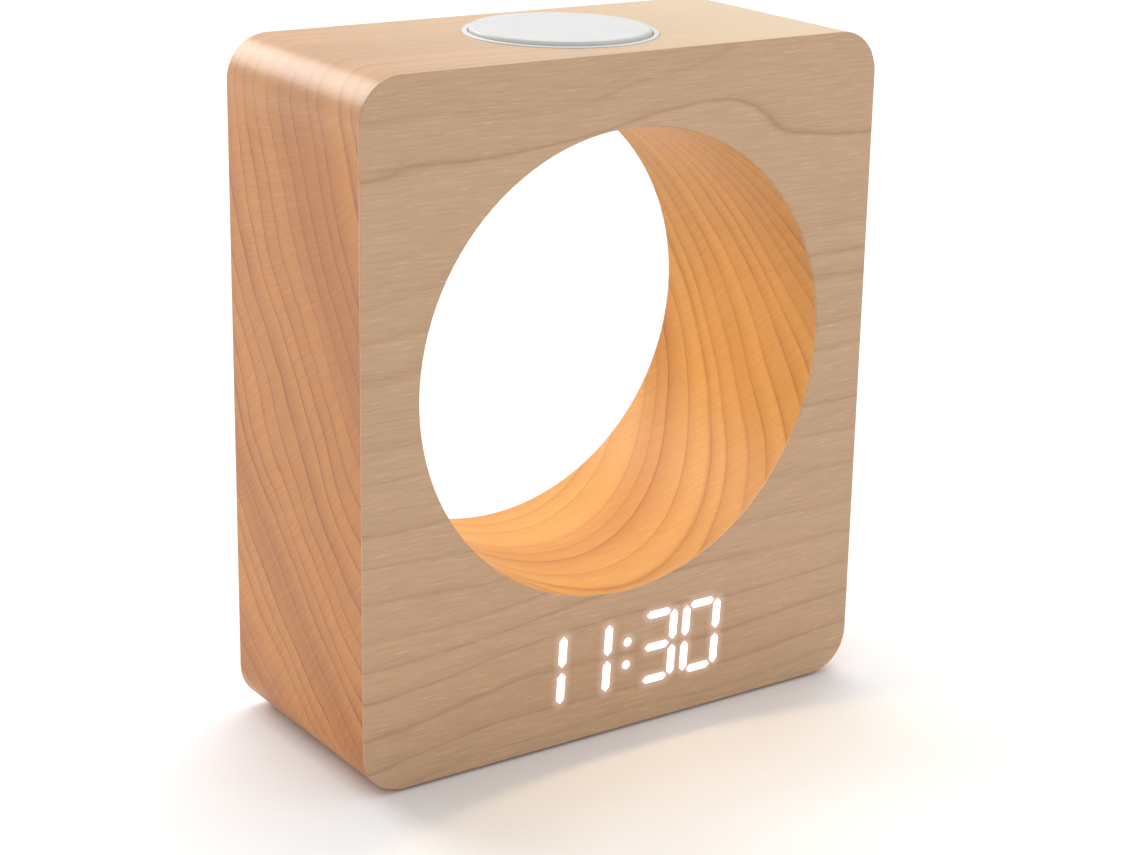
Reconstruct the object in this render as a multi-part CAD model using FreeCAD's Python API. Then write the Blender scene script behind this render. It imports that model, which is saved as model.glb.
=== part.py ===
"""Wooden bedside alarm clock: a veneered block with a large round hole, a lit time display behind the
front veneer, a warm lamp in the roof of the hole, a wireless charging pad on top, and a service cover
at the back with four keys, a cable socket, a sounder and a coin cell drawer.

Millimetres. +X to the right and -Y to the front as the user sees it, +Z up. The origin is on the table
under the middle of the block. Each function makes one sub-part or one family of like sub-parts.
"""

import FreeCAD, Part
import math
import os

Vector = FreeCAD.Vector

# ---------------------------------------------------------------- sizes: block
hole_diameter = 119.0        # the round window through the block
side_web = 15.5              # block beside the hole, at its narrowest
corner_radius = 11.0         # rounded corners of the front outline
body_depth = 65.0            # front face to back face
veneer = 0.6                 # every face veneer, the wrap and the hole's lining
edge_ease = 0.3              # sanded edge of the face veneers
foot_stand = 0.8             # how far the feet lift the block
bay_floor = 7.8              # block under the electronics bay
bay_roof = 5.0               # block between the electronics bay and the hole
bay_side = 19.0              # block beside the electronics bay
front_wall = 5.4             # core between the electronics bay and the front veneer
glue_gap = 0.1               # room round pieces that are glued in
fit_gap = 0.2                # room round pieces that drop in
pilot_spare = 0.4            # pilot holes run this much past their screws

# ---------------------------------------------------------------- sizes: time display
digit_height = 19.8          # over the level segments
digit_width = 9.8            # between the middles of the upright segments
digit_pitch = 13.9           # from one digit to the next in a pair
pair_pitch = 34.3            # from the hours pair to the minutes pair
display_shift = 0.9          # the display sits this far right of the middle
segment_slant = 3.0          # degrees
upright_thick = 2.3          # width of an upright segment
level_thick = 2.0            # width of a level segment
upright_overrun = 0.1        # how far an upright's tip passes the middle of a level segment
upright_waist = 0.75         # from the digit's middle to an upright's inner tip
level_inset = 1.15           # from an upright's middle to a level segment's tip
colon_diameter = 2.3
colon_rise = 3.1             # each dot above or below the middle
colon_side = 0.75            # the dots sit this far right of the display's middle
housing_border = 2.1         # housing beyond the digits
housing_depth = 7.5
housing_ear = 5.5            # fixing ear beyond the housing
housing_slack = 1.0          # bay height beyond the housing
guide_depth = 5.4            # light guide in each segment well
display_led = (1.9, 1.1, 0.8)
board_thick = 1.6
display_screw_bite = 3.6
display_screw_inset = 3.5    # screws below the housing's top and above its bottom
driver_chip_side = 16.0      # the driver chip sits this far right of the display's middle

# ---------------------------------------------------------------- sizes: back cover, keys, main board
cover_recess = 1.2           # cover face below the back veneer
cover_thick = 2.2
cover_lap_side = 6.6         # cover beyond the bay, each side
cover_lap_top = 1.7          # cover beyond the bay, above and below
cover_corner = 6.0
cover_ease = 0.4
cover_screw_inset_x = 3.5
cover_screw_inset_z = 4.7
cover_screw_length = 9.0
key_diameter = 7.2
key_gap = 0.15               # running fit of a key in the cover
key_stand = 0.9              # key above the cover face
key_ease = 0.4
key_dish = 0.3
key_dish_radius = 12.0
key_travel = 0.5
key_flange = 1.1             # flange beyond the key
key_flange_thick = 1.0
key_flange_gap = 0.1
key_pitch = 11.0
key_names = ("light", "up", "down", "set")
mark_rise = 3.4              # pictogram's middle above the key's edge
mark_height = 0.25
switch_side = 6.0
switch_height = 3.5
switch_well = 1.3            # depth of the well that the plunger runs in
plunger_diameter = 3.5
plunger_stand = 1.9          # plunger above the switch
plunger_gap = 0.15
plunger_floor_gap = 0.1      # left under a fully pressed plunger
post_length = 7.5            # cover to main board
post_diameter = 5.0
board_edge = 3.0             # main board to the bay's side
board_slack = 3.0            # bay height beyond the main board
post_inset = 3.2             # post's middle to the main board's end
post_drop = 3.0              # post's middle to the main board's top or bottom
board_screw_length = 6.5
screw_pilot = 1.6
screw_shank = 2.2
screw_head = 4.2
screw_head_height = 1.4
screw_slot = 0.6
screw_slot_depth = 0.7

# ---------------------------------------------------------------- sizes: socket, sounder, board parts
socket_width = 8.94
socket_height = 3.26
socket_wall = 0.3
socket_length = 9.4
socket_inset = 7.5           # socket's middle to the main board's right end
socket_plug_length = 2.6
tongue_width = 6.7
tongue_thick = 0.7
tongue_setback = 1.0         # tongue's tip behind the socket's mouth
contact_pitch = 0.7
contact_count = 8
key_to_socket = 12.5
sounder_diameter = 12.0
sounder_height = 6.0
sounder_to_key = 13.0
slot_pitch = 2.2
sound_slot_width = 1.1
sound_slot_length = 8.0
sound_slot_step = 1.4        # each slot outwards is this much shorter
capacitor_diameter = 6.3
capacitor_height = 7.7
capacitor_pitch = 8.0
header_size = (6.0, 5.0, 4.0)
header_pitch = 4.3           # one header below another
header_inset = 1.0           # headers to the main board's right end
header_drop = 2.2            # top header's middle below the main board's top
chip_resistor = (2.0, 0.6, 1.2)
ribbon_width = 10.0
ribbon_thick = 0.6
ribbon_bend = 40.0           # degrees
ribbon_lead = 1.5
ribbon_rise_z = 3.4          # ribbon above the main board's bottom
ribbon_header_depth = (2.4, 4.0)

# ---------------------------------------------------------------- sizes: coin cell drawer
cell_diameter = 20.0
cell_thick = 3.2
cell_gap = 0.2
cell_step = 1.6              # the cell's cap is this much smaller in radius
cell_step_height = 0.4
cell_shelf = 3.0             # tray floor under the cell's edge
tray_wall = 1.6
tray_floor = 0.9
tray_front = 1.0             # tray wall between the cell and the cover
tray_run = 0.2               # room between the tray and its bay
tray_lip = 1.0
tray_lip_lap = 1.5
tray_lip_gap = 0.1
tray_channel = 4.0           # half width of the slot in the tray's end wall
drawer_wall = 1.2
drawer_inset = 3.0           # drawer bay to the electronics bay's side
contact_thick = 0.3
contact_room = 0.5
contact_half = 2.0           # half width of the roof contact
contact_reach = 5.0          # roof contact past the cell's middle
contact_tab = 1.5            # contact ends that stand out for the leads
end_contact_side = 3.1
end_contact_width = 1.0

# ---------------------------------------------------------------- sizes: charger
pad_diameter = 45.5
pad_stand = 1.4              # pad above the block
pad_thick = 2.2
pad_round = 0.9
skirt_thick = 1.2
skirt_height = 2.0
rim_width = 1.5              # white rim seen round the pad
rim_stand = 0.3
rim_thick = 1.3
rim_lap = 0.8                # rim beyond the cup's wall
cup_depth = 9.3              # from the block's top to the cup's underside
cup_wall = 1.2
cup_screw_inset = 4.0
cup_screw_bite = 2.2
coil_inner = 19.0
coil_wire = 0.9
coil_pitch = 1.0
coil_turns = 10
coil_gap = 0.15
ferrite_lap = 0.8            # ferrite beyond the coil
ferrite_thick = 0.8
charger_board_diameter = 38.0
charger_board_thick = 1.2
charger_board_gap = 1.5      # ferrite to board
shelf = 3.6                  # core between the charger and the lamp

# ---------------------------------------------------------------- sizes: lamp
lamp_half_angle = 22.0       # degrees each side of the top of the hole
lamp_width = 15.0
lens_thick = 1.5
lamp_room = 5.1              # pocket depth above the hole
lamp_tray_skin = 1.0
strip_width = 8.0
strip_thick = 0.3
strip_inset = 1.4            # degrees from the lamp's end to the strip's end
lamp_led = (2.8, 3.5, 0.8)
lamp_led_count = 9
lamp_led_inset = 4.5         # degrees from the lamp's end to the last light

# ---------------------------------------------------------------- sizes: wiring and feet
channel_width = 8.0
channel_depth = 10.0         # from the back veneer
channel_lid = 2.0
channel_rise = 3.0           # channel's mouth above the bay's middle
channel_turn = 32.0          # degrees above level, seen from the hole, where the channel turns in
junction_spare = 1.1         # junction pocket beyond the lamp pair's bend
junction_side = 9.5          # junction pocket's middle to the charger's rim
junction_drop = 2.6          # junction pocket's middle below the charger's lead
junction_front = 4.0         # junction pocket past the block's middle plane
feed_radius = 2.0            # drilled ways from the junction pocket
wire_diameter = 1.1
wire_spread = 0.65           # each lead from the middle of its pair, along X and Y
wire_clear = 0.3
charger_lead_depth = 2.2     # middle of the charger's pair above the channel's floor
lamp_lead_depth = 5.3
junction_lead_in = 11.0      # last run of each pair before the junction pocket's middle
lamp_lead_low = 2.0          # lamp pair below the junction pocket's middle
bend_share = 0.45            # of the shorter run beside it, for each bend's tangent length
charger_lead_lap = 3.55      # charger's leads under its board
cell_lead_step = 7.4         # cell's leads stand off this far to the right of their header
foot_diameter = 12.0
foot_ease = 0.3
foot_inset_x = 15.0
foot_inset_y = 10.5

# ---------------------------------------------------------------- worked out: block
beyond = 1.0                 # cutting tools run this far past what they cut
display_height = digit_height + 2 * housing_border
bay_height = display_height + housing_slack
hole_radius = hole_diameter / 2
charger_pocket = cup_depth + fit_gap
base_web = bay_floor + bay_height + bay_roof
top_web = charger_pocket + shelf + lamp_room
body_width = hole_diameter + 2 * side_web
body_height = base_web + hole_diameter + top_web
body_base = foot_stand
body_top = foot_stand + body_height
hole_z = body_base + base_web + hole_radius
front_y = -body_depth / 2
back_y = body_depth / 2
core_front = front_y + veneer
core_back = back_y - veneer
bay_half = body_width / 2 - bay_side
bay_bottom = body_base + bay_floor
bay_top = bay_bottom + bay_height
bay_z = (bay_bottom + bay_top) / 2
bay_front = core_front + front_wall

# ---------------------------------------------------------------- worked out: back cover and main board
cover_face = back_y - cover_recess
cover_inner = cover_face - cover_thick
cover_half = bay_half + cover_lap_side
cover_height = bay_height + 2 * cover_lap_top
board_back = cover_inner - post_length
board_front = board_back - board_thick
board_height = bay_height - board_slack
tray_width = cell_diameter + 2 * cell_gap + 2 * tray_wall
tray_height = cell_thick + tray_floor
slot_width = tray_width + 2 * tray_run
slot_height = tray_height + contact_room + tray_run
drawer_width = slot_width + 2 * drawer_wall
tray_x = bay_half - drawer_inset - drawer_width / 2
slot_bottom = bay_z - slot_height / 2
slot_top = bay_z + slot_height / 2
tray_bottom = slot_bottom + tray_run / 2
cell_y = cover_inner - tray_front - cell_diameter / 2 - cell_gap
tray_end = cell_y - cell_diameter / 2 - cell_gap - tray_front
drawer_end = tray_end - contact_room
board_right = tray_x - drawer_width / 2 - board_edge
board_left = board_edge - bay_half
socket_x = board_right - socket_inset
key_x = [socket_x - key_to_socket - n * key_pitch for n in range(len(key_names))]
sounder_x = key_x[-1] - sounder_to_key
post_rise = board_height / 2 - post_drop
posts = [
    (board_left + post_inset, bay_z + post_rise),
    ((key_x[1] + key_x[2]) / 2, bay_z + post_rise),
    (board_right - post_inset, bay_z - post_rise),
]
cover_screws = [
    (sx * (cover_half - cover_screw_inset_x), bay_z + sz * (cover_height / 2 - cover_screw_inset_z))
    for sx in (-1, 1) for sz in (-1, 1)
]
flange_back = cover_inner - key_flange_gap
flange_front = flange_back - key_flange_thick
switch_top = board_back + switch_height
plunger_top = switch_top + plunger_stand
plunger_foot = switch_top - switch_well + key_travel + plunger_floor_gap

# ---------------------------------------------------------------- worked out: display
digit_x = [
    display_shift + sx * pair_pitch / 2 + side * digit_pitch / 2 for sx in (-1, 1) for side in (-1, 1)
]
digit_names = ("hour_tens", "hour_units", "minute_tens", "minute_units")
housing_half = (digit_x[3] - digit_x[0] + digit_width + upright_thick) / 2 + housing_border
display_half = housing_half + housing_ear
housing_front = core_front + glue_gap
housing_back = housing_front + housing_depth
display_board_back = housing_back + board_thick
ribbon_x = (key_x[1] + key_x[2]) / 2 - 2.5
ribbon_z = bay_z - board_height / 2 + ribbon_rise_z

# ---------------------------------------------------------------- worked out: charger, lamp and channel
rim_inner = pad_diameter / 2 + fit_gap
rim_outer = rim_inner + rim_width
cup_outer = rim_outer - rim_lap
cup_inner = cup_outer - cup_wall
cup_bottom = body_top - cup_depth
cup_floor = cup_bottom + cup_wall
pad_top = body_top + pad_stand
pad_bottom = pad_top - pad_thick
coil_outer = coil_inner + 2 * coil_turns * coil_pitch
coil_z = pad_bottom - coil_gap - coil_wire / 2
ferrite_top = coil_z - coil_wire / 2
charger_board_top = ferrite_top - ferrite_thick - charger_board_gap
charger_board_bottom = charger_board_top - charger_board_thick
lens_outer = hole_radius + lens_thick
lamp_tray_outer = hole_radius + lamp_room - glue_gap
lamp_tray_inner = lamp_tray_outer - lamp_tray_skin
strip_inner = lamp_tray_inner - strip_thick
lamp_end = math.radians(lamp_half_angle)
lamp_slack = glue_gap / hole_radius
channel_x = hole_radius + side_web / 2
channel_floor = core_back - channel_depth
channel_start_z = bay_z + channel_rise
channel_turn_z = hole_z + channel_x * math.tan(math.radians(channel_turn))
charger_feed_z = cup_floor + wire_diameter / 2 + wire_clear
junction_x = rim_outer + junction_side
junction_z = charger_feed_z - junction_drop
lamp_entry_radius = (lens_outer + lamp_tray_inner) / 2
lamp_entry_x = lamp_entry_radius * math.sin(lamp_end)
lamp_entry_z = hole_z + lamp_entry_radius * math.cos(lamp_end)
lamp_way_length = math.hypot(junction_x - lamp_entry_x, junction_z - lamp_entry_z)
lamp_way_rise = (junction_z - lamp_entry_z) / lamp_way_length
lamp_last_run = lamp_way_length - lamp_lead_low / lamp_way_rise + wire_clear
junction_radius = bend_share * lamp_last_run + junction_spare


# ---------------------------------------------------------------- shape helpers
def box(x0, x1, y0, y1, z0, z1):
    return Part.makeBox(x1 - x0, y1 - y0, z1 - z0, Vector(x0, y0, z0))


def block(x, y0, z, size):
    """A box of size (x, y, z), centred on x and z, from y0 towards the back."""
    return box(x - size[0] / 2, x + size[0] / 2, y0, y0 + size[1], z - size[2] / 2, z + size[2] / 2)


def rod_x(y, z, radius, x0, x1):
    return Part.makeCylinder(radius, x1 - x0, Vector(x0, y, z), Vector(1, 0, 0))


def rod_y(x, z, radius, y0, y1):
    return Part.makeCylinder(radius, y1 - y0, Vector(x, y0, z), Vector(0, 1, 0))


def rod_z(x, y, radius, z0, z1):
    return Part.makeCylinder(radius, z1 - z0, Vector(x, y, z0), Vector(0, 0, 1))


def ring_z(r0, r1, z0, z1):
    return rod_z(0, 0, r1, z0, z1).cut(rod_z(0, 0, r0, z0, z1))


def plate_y(x, z, width, height, radius, y0, y1):
    """A rounded rectangle across X and Z, y0 to y1 deep."""
    solid = box(x - width / 2, x + width / 2, y0, y1, z - height / 2, z + height / 2)
    corners = [e for e in solid.Edges if abs(e.tangentAt(e.FirstParameter).y) > 0.99]
    return solid.makeFillet(radius, corners)


def prism_y(points, y0, y1):
    """A polygon given as (x, z) points, y0 to y1 deep."""
    corners = [Vector(x, y0, z) for x, z in points]
    face = Part.Face(Part.makePolygon(corners + corners[:1]))
    return face.extrude(Vector(0, y1 - y0, 0))


def flat_edges(shape, axis, level):
    """Edges that lie wholly at one level of an axis."""
    low, high = axis + "Min", axis + "Max"
    return [
        e for e in shape.Edges
        if abs(getattr(e.BoundBox, low) - level) < 1e-4 and abs(getattr(e.BoundBox, high) - level) < 1e-4
    ]


def at_hole(radius, angle, y=0.0):
    """A point round the hole's axis, its angle in radians from the top towards +X."""
    return Vector(radius * math.sin(angle), y, hole_z + radius * math.cos(angle))


def arc_block(r0, r1, half_angle, half_width):
    """Part of a ring round the hole's axis, half_angle radians each side of its top."""
    y = -half_width
    edges = [
        Part.Arc(at_hole(r0, -half_angle, y), at_hole(r0, 0, y), at_hole(r0, half_angle, y)).toShape(),
        Part.LineSegment(at_hole(r0, half_angle, y), at_hole(r1, half_angle, y)).toShape(),
        Part.Arc(at_hole(r1, half_angle, y), at_hole(r1, 0, y), at_hole(r1, -half_angle, y)).toShape(),
        Part.LineSegment(at_hole(r1, -half_angle, y), at_hole(r0, -half_angle, y)).toShape(),
    ]
    return Part.Face(Part.Wire(edges)).extrude(Vector(0, 2 * half_width, 0))


def rounded_path(points):
    """Straight runs joined by tangent arcs, each arc as large as its two runs allow."""
    edges = []
    radii = []
    start = points[0]
    for before, corner, after in zip(points, points[1:], points[2:]):
        run_in = before - corner
        run_out = after - corner
        turn = math.pi - run_in.getAngle(run_out)
        setback = bend_share * min(run_in.Length, run_out.Length)
        run_in.normalize()
        run_out.normalize()
        arc_in = corner + run_in * setback
        arc_out = corner + run_out * setback
        radius = setback / math.tan(turn / 2)
        inward = run_in + run_out
        inward.normalize()
        middle = corner + inward * (radius / math.cos(turn / 2) - radius)
        edges.append(Part.LineSegment(start, arc_in).toShape())
        edges.append(Part.Arc(arc_in, middle, arc_out).toShape())
        radii.append(round(radius, 1))
        start = arc_out
    edges.append(Part.LineSegment(start, points[-1]).toShape())
    return Part.Wire(edges), radii


def tube(points, diameter):
    """A solid round lead along a rounded path."""
    path, radii = rounded_path(points)
    section = Part.Wire(Part.Circle(points[0], points[1] - points[0], diameter / 2).toShape())
    solid = path.makePipeShell([section], True, False)
    expected = math.pi * diameter ** 2 / 4 * path.Length
    ratio = round(solid.Volume / expected, 4)
    print("lead", round(path.Length, 1), "mm, bend radii", radii, "volume ratio", ratio)
    return solid


def cross_slot(x, z, y0, y1):
    """The cross recess of a screw head along Y."""
    half = screw_head / 2 - 0.8
    tall = box(x - screw_slot / 2, x + screw_slot / 2, y0, y1, z - half, z + half)
    wide = box(x - half, x + half, y0, y1, z - screw_slot / 2, z + screw_slot / 2)
    return tall.fuse(wide)


def screw_y(x, z, seat_y, length, direction):
    """A pan-head screw along Y: direction -1 drives it towards the front."""
    tip = seat_y + direction * length
    crown = seat_y - direction * screw_head_height
    slot_floor = crown + direction * screw_slot_depth
    head = rod_y(x, z, screw_head / 2, min(seat_y, crown), max(seat_y, crown))
    head = head.makeFillet(0.35, flat_edges(head, "Y", crown))
    shank = rod_y(x, z, screw_pilot / 2, min(seat_y, tip), max(seat_y, tip))
    return head.fuse(shank).cut(cross_slot(x, z, min(crown, slot_floor), max(crown, slot_floor)))


def save(name, *shapes):
    """Writes one sub-part, which may be several separate solids, and refuses a bad solid."""
    solids = [solid for shape in shapes for solid in shape.Solids]
    for solid in solids:
        if not solid.isValid() or solid.Volume <= 0:
            raise ValueError(name + " has a bad solid")
    kept = solids[0] if len(solids) == 1 else Part.makeCompound(solids)
    kept.exportStep("parts/" + name + ".step")
    print(name, len(solids), "solids", round(sum(s.Volume for s in solids) / 1000, 3), "cm3")


# ---------------------------------------------------------------- places that several pieces share
def foot_places():
    x = body_width / 2 - foot_inset_x
    y = body_depth / 2 - foot_inset_y
    return [(sx * x, sy * y) for sx in (-1, 1) for sy in (-1, 1)]


def display_screw_places():
    x = housing_half + housing_ear / 2
    z = display_height / 2 - display_screw_inset
    return [(display_shift + sx * x, bay_z + sz * z) for sx in (-1, 1) for sz in (-1, 1)]


def charger_screw_places():
    reach = cup_inner - cup_screw_inset
    return [(0, -reach), (0, reach)]


def header_places():
    """Lamp, charger and cell headers, one below another at the main board's right end."""
    x = board_right - header_inset - header_size[0] / 2
    z = bay_z + board_height / 2 - header_drop
    return [(x, z - n * header_pitch) for n in range(3)]


# ---------------------------------------------------------------- block
def block_outline(y0, y1, inset=0.0):
    return plate_y(
        0, body_base + body_height / 2, body_width - 2 * inset, body_height - 2 * inset,
        corner_radius - inset, y0, y1,
    )


def hole_tool(radius):
    return rod_y(0, hole_z, radius, front_y - beyond, back_y + beyond)


def cover_outline(grow, y0, y1):
    return plate_y(
        0, bay_z, 2 * (cover_half + grow), cover_height + 2 * grow, cover_corner + grow, y0, y1
    )


def channel_shape(y0, y1, inset=0.0):
    """The wire channel: out of the bay, up beside the hole and over to the junction pocket."""
    half = channel_width / 2 - inset
    mouth = box(
        bay_half - beyond, channel_x + half, y0, y1, channel_start_z - half, channel_start_z + half
    )
    rise = box(channel_x - half, channel_x + half, y0, y1, channel_start_z, channel_turn_z)
    elbow = rod_y(channel_x, channel_turn_z, half, y0, y1)
    start = Vector(channel_x, 0, channel_turn_z)
    end = Vector(junction_x, 0, junction_z)
    side = Vector(start.z - end.z, 0, end.x - start.x)
    side.normalize()
    side = side * half
    slope = prism_y([(p.x, p.z) for p in (start + side, end + side, end - side, start - side)], y0, y1)
    tip = rod_y(junction_x, junction_z, half, y0, y1)
    return mouth.fuse([rise, elbow, slope, tip]).removeSplitter()


def lamp_slot():
    """The way that the lamp's lens takes up through the hole's lining."""
    return arc_block(
        hole_radius - beyond, hole_radius + lamp_room, lamp_end + lamp_slack, lamp_width / 2 + glue_gap
    )


def lamp_way():
    """Where the lamp's leads enter, and the direction from there to the junction pocket."""
    entry = at_hole(lamp_entry_radius, lamp_end)
    return entry, Vector(junction_x, 0, junction_z) - entry


def lamp_feed():
    entry, way = lamp_way()
    return Part.makeCylinder(feed_radius, way.Length, entry, way)


def rim_seat():
    return rod_z(0, 0, rim_outer + glue_gap, body_top + rim_stand - rim_thick, body_top + beyond)


def foot_seats():
    return [
        rod_z(x, y, foot_diameter / 2 + glue_gap, body_base - beyond, body_base + veneer)
        for x, y in foot_places()
    ]


def body_core():
    core = block_outline(core_front, core_back, veneer).cut(hole_tool(hole_radius + veneer))
    window_half = housing_half + fit_gap
    window_rise = display_height / 2 + fit_gap
    cuts = [
        box(-bay_half, bay_half, bay_front, back_y, bay_bottom, bay_top),
        box(
            display_shift - window_half, display_shift + window_half, front_y, bay_front,
            bay_z - window_rise, bay_z + window_rise,
        ),
        cover_outline(fit_gap, cover_inner, back_y),
        rod_z(0, 0, cup_outer + fit_gap, body_top - charger_pocket, body_top + beyond),
        rim_seat(),
        lamp_slot(),
        channel_shape(channel_floor, back_y),
        rod_y(junction_x, junction_z, junction_radius, -junction_front, core_back - channel_lid),
        rod_x(0, charger_feed_z, feed_radius, cup_outer - beyond, junction_x),
        lamp_feed(),
    ]
    for x, z in cover_screws:
        cuts.append(rod_y(x, z, screw_pilot / 2, cover_inner - cover_screw_length - pilot_spare, cover_inner))
    for x, z in display_screw_places():
        cuts.append(rod_y(x, z, screw_pilot / 2, bay_front - display_screw_bite - pilot_spare, bay_front))
    for x, y in charger_screw_places():
        cuts.append(rod_z(x, y, screw_pilot / 2, cup_bottom - cup_screw_bite - pilot_spare, cup_bottom))
    return core.cut(cuts)


def side_wrap():
    """Veneer bent round the four sides of the core."""
    wrap = block_outline(core_front, core_back).cut(block_outline(core_front, core_back, veneer))
    return wrap.cut([rim_seat()] + foot_seats())


def bore_lining():
    lining = rod_y(0, hole_z, hole_radius + veneer, core_front, core_back)
    return lining.cut([hole_tool(hole_radius), lamp_slot()])


def face_veneer(y0, y1, outer_y):
    sheet = block_outline(y0, y1).cut(hole_tool(hole_radius))
    return sheet.makeFillet(edge_ease, flat_edges(sheet, "Y", outer_y))


def rear_veneer():
    sheet = face_veneer(core_back, back_y, back_y)
    return sheet.cut(cover_outline(fit_gap, core_back - beyond, back_y + beyond))


def channel_lath():
    """Lath that closes the wire channel under the back veneer."""
    lath = channel_shape(core_back - channel_lid, core_back, glue_gap)
    return lath.cut(cover_outline(2 * fit_gap, core_back - channel_lid - beyond, back_y))


def rubber_feet():
    feet = []
    for x, y in foot_places():
        pad = rod_z(x, y, foot_diameter / 2, 0, body_base + veneer)
        feet.append(pad.makeFillet(foot_ease, flat_edges(pad, "Z", 0)))
    return Part.makeCompound(feet)


# ---------------------------------------------------------------- time display
def upright_points(px, sign):
    """Outline of an upright segment, from the digit's middle, above (1) or below (-1) the waist."""
    t = upright_thick / 2
    inner = upright_waist
    outer = (digit_height - level_thick) / 2 + upright_overrun
    return [
        (px, sign * inner), (px + t, sign * (inner + t)), (px + t, sign * (outer - t)),
        (px, sign * outer), (px - t, sign * (outer - t)), (px - t, sign * (inner + t)),
    ]


def level_points(pz):
    """Outline of a level segment at one height from the digit's middle."""
    t = level_thick / 2
    reach = digit_width / 2 - level_inset
    return [
        (-reach, pz), (t - reach, pz + t), (reach - t, pz + t),
        (reach, pz), (reach - t, pz - t), (t - reach, pz - t),
    ]


def leaning(points, x):
    """Sets (x, z) points, given from a digit's middle, in place with the digits' slant."""
    lean = math.tan(math.radians(segment_slant))
    return [(x + px + lean * pz, bay_z + pz) for px, pz in points]


def digit_outlines(x):
    """The seven segments of one digit: top, clockwise round, then the middle bar."""
    side = digit_width / 2
    high = (digit_height - level_thick) / 2
    outlines = [
        level_points(high), upright_points(side, 1), upright_points(side, -1), level_points(-high),
        upright_points(-side, -1), upright_points(-side, 1), level_points(0),
    ]
    return [leaning(points, x) for points in outlines]


def colon_places():
    return leaning([(colon_side, colon_rise), (colon_side, -colon_rise)], display_shift)


def segment_guides(x):
    back = housing_front + guide_depth
    return Part.makeCompound([prism_y(points, housing_front, back) for points in digit_outlines(x)])


def colon_guides():
    back = housing_front + guide_depth
    radius = colon_diameter / 2
    return Part.makeCompound([rod_y(x, z, radius, housing_front, back) for x, z in colon_places()])


def display_housing():
    z0, z1 = bay_z - display_height / 2, bay_z + display_height / 2
    front = box(
        display_shift - housing_half, display_shift + housing_half, housing_front, housing_back, z0, z1
    )
    ears = box(display_shift - display_half, display_shift + display_half, bay_front, housing_back, z0, z1)
    wells = [prism_y(points, housing_front, housing_back) for x in digit_x for points in digit_outlines(x)]
    wells += [rod_y(x, z, colon_diameter / 2, housing_front, housing_back) for x, z in colon_places()]
    holes = [rod_y(x, z, screw_shank / 2, bay_front, housing_back) for x, z in display_screw_places()]
    return front.fuse(ears).removeSplitter().cut(wells + holes)


def display_board():
    board = block(display_shift, housing_back, bay_z, (2 * display_half, board_thick, display_height))
    holes = [
        rod_y(x, z, screw_shank / 2, housing_back, display_board_back) for x, z in display_screw_places()
    ]
    return board.cut(holes)


def display_leds():
    """One light behind the middle of each segment and each colon dot."""
    length, width, thick = display_led
    seat = housing_back - thick
    chips = []
    for x in digit_x:
        for points in digit_outlines(x):
            middle_x = sum(p[0] for p in points) / len(points)
            middle_z = sum(p[1] for p in points) / len(points)
            span_x = max(p[0] for p in points) - min(p[0] for p in points)
            span_z = max(p[1] for p in points) - min(p[1] for p in points)
            size = (length, thick, width) if span_x > span_z else (width, thick, length)
            chips.append(block(middle_x, seat, middle_z, size))
    chips += [block(x, seat, z, (width, thick, width)) for x, z in colon_places()]
    return Part.makeCompound(chips)


def legged_chip(x, z, board_y, direction, size, legs, pitch):
    """A chip on a board that faces along Y, its legs out along Z; size is (width, thick, height)."""
    width, thick, height = size
    stand, leg_thick, leg_half, leg_reach, leg_root = 0.1, 0.2, 0.2, 1.0, 0.4
    near, far = sorted((board_y + direction * stand, board_y + direction * (stand + thick)))
    body = box(x - width / 2, x + width / 2, near, far, z - height / 2, z + height / 2)
    foot_near, foot_far = sorted((board_y, board_y + direction * leg_thick))
    feet = []
    for n in range(legs):
        leg_x = x + (n - (legs - 1) / 2) * pitch
        for side in (-1, 1):
            ends = (z + side * (height / 2 - leg_root), z + side * (height / 2 + leg_reach))
            feet.append(box(leg_x - leg_half, leg_x + leg_half, foot_near, foot_far, min(ends), max(ends)))
    return body.fuse(feet).removeSplitter()


def display_driver_chip():
    x = display_shift + driver_chip_side
    return legged_chip(x, bay_z, display_board_back, 1, (9.9, 1.4, 3.9), 8, 1.27)


def display_screws():
    length = display_board_back - bay_front + display_screw_bite
    return Part.makeCompound(
        [screw_y(x, z, display_board_back, length, -1) for x, z in display_screw_places()]
    )


# ---------------------------------------------------------------- back cover
def key_mark(name, x):
    """A raised pictogram above a key: a lamp, an arrow up or down, or a ring for set."""
    z = bay_z + key_diameter / 2 + mark_rise
    y0, y1 = cover_face - mark_height, cover_face + mark_height
    if name == "up":
        return prism_y([(x - 1.6, z - 1.2), (x + 1.6, z - 1.2), (x, z + 1.5)], y0, y1)
    if name == "down":
        return prism_y([(x - 1.6, z + 1.2), (x, z - 1.5), (x + 1.6, z + 1.2)], y0, y1)
    if name == "set":
        return rod_y(x, z, 1.6, y0, y1).cut(rod_y(x, z, 0.9, y0, y1))
    rays = []
    for n in range(8):
        ray = box(x - 0.2, x + 0.2, y0, y1, z + 0.6, z + 1.8)
        rays.append(ray.rotate(Vector(x, 0, z), Vector(0, 1, 0), 45 * n))
    return rod_y(x, z, 0.9, y0, y1).fuse(rays)


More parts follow.
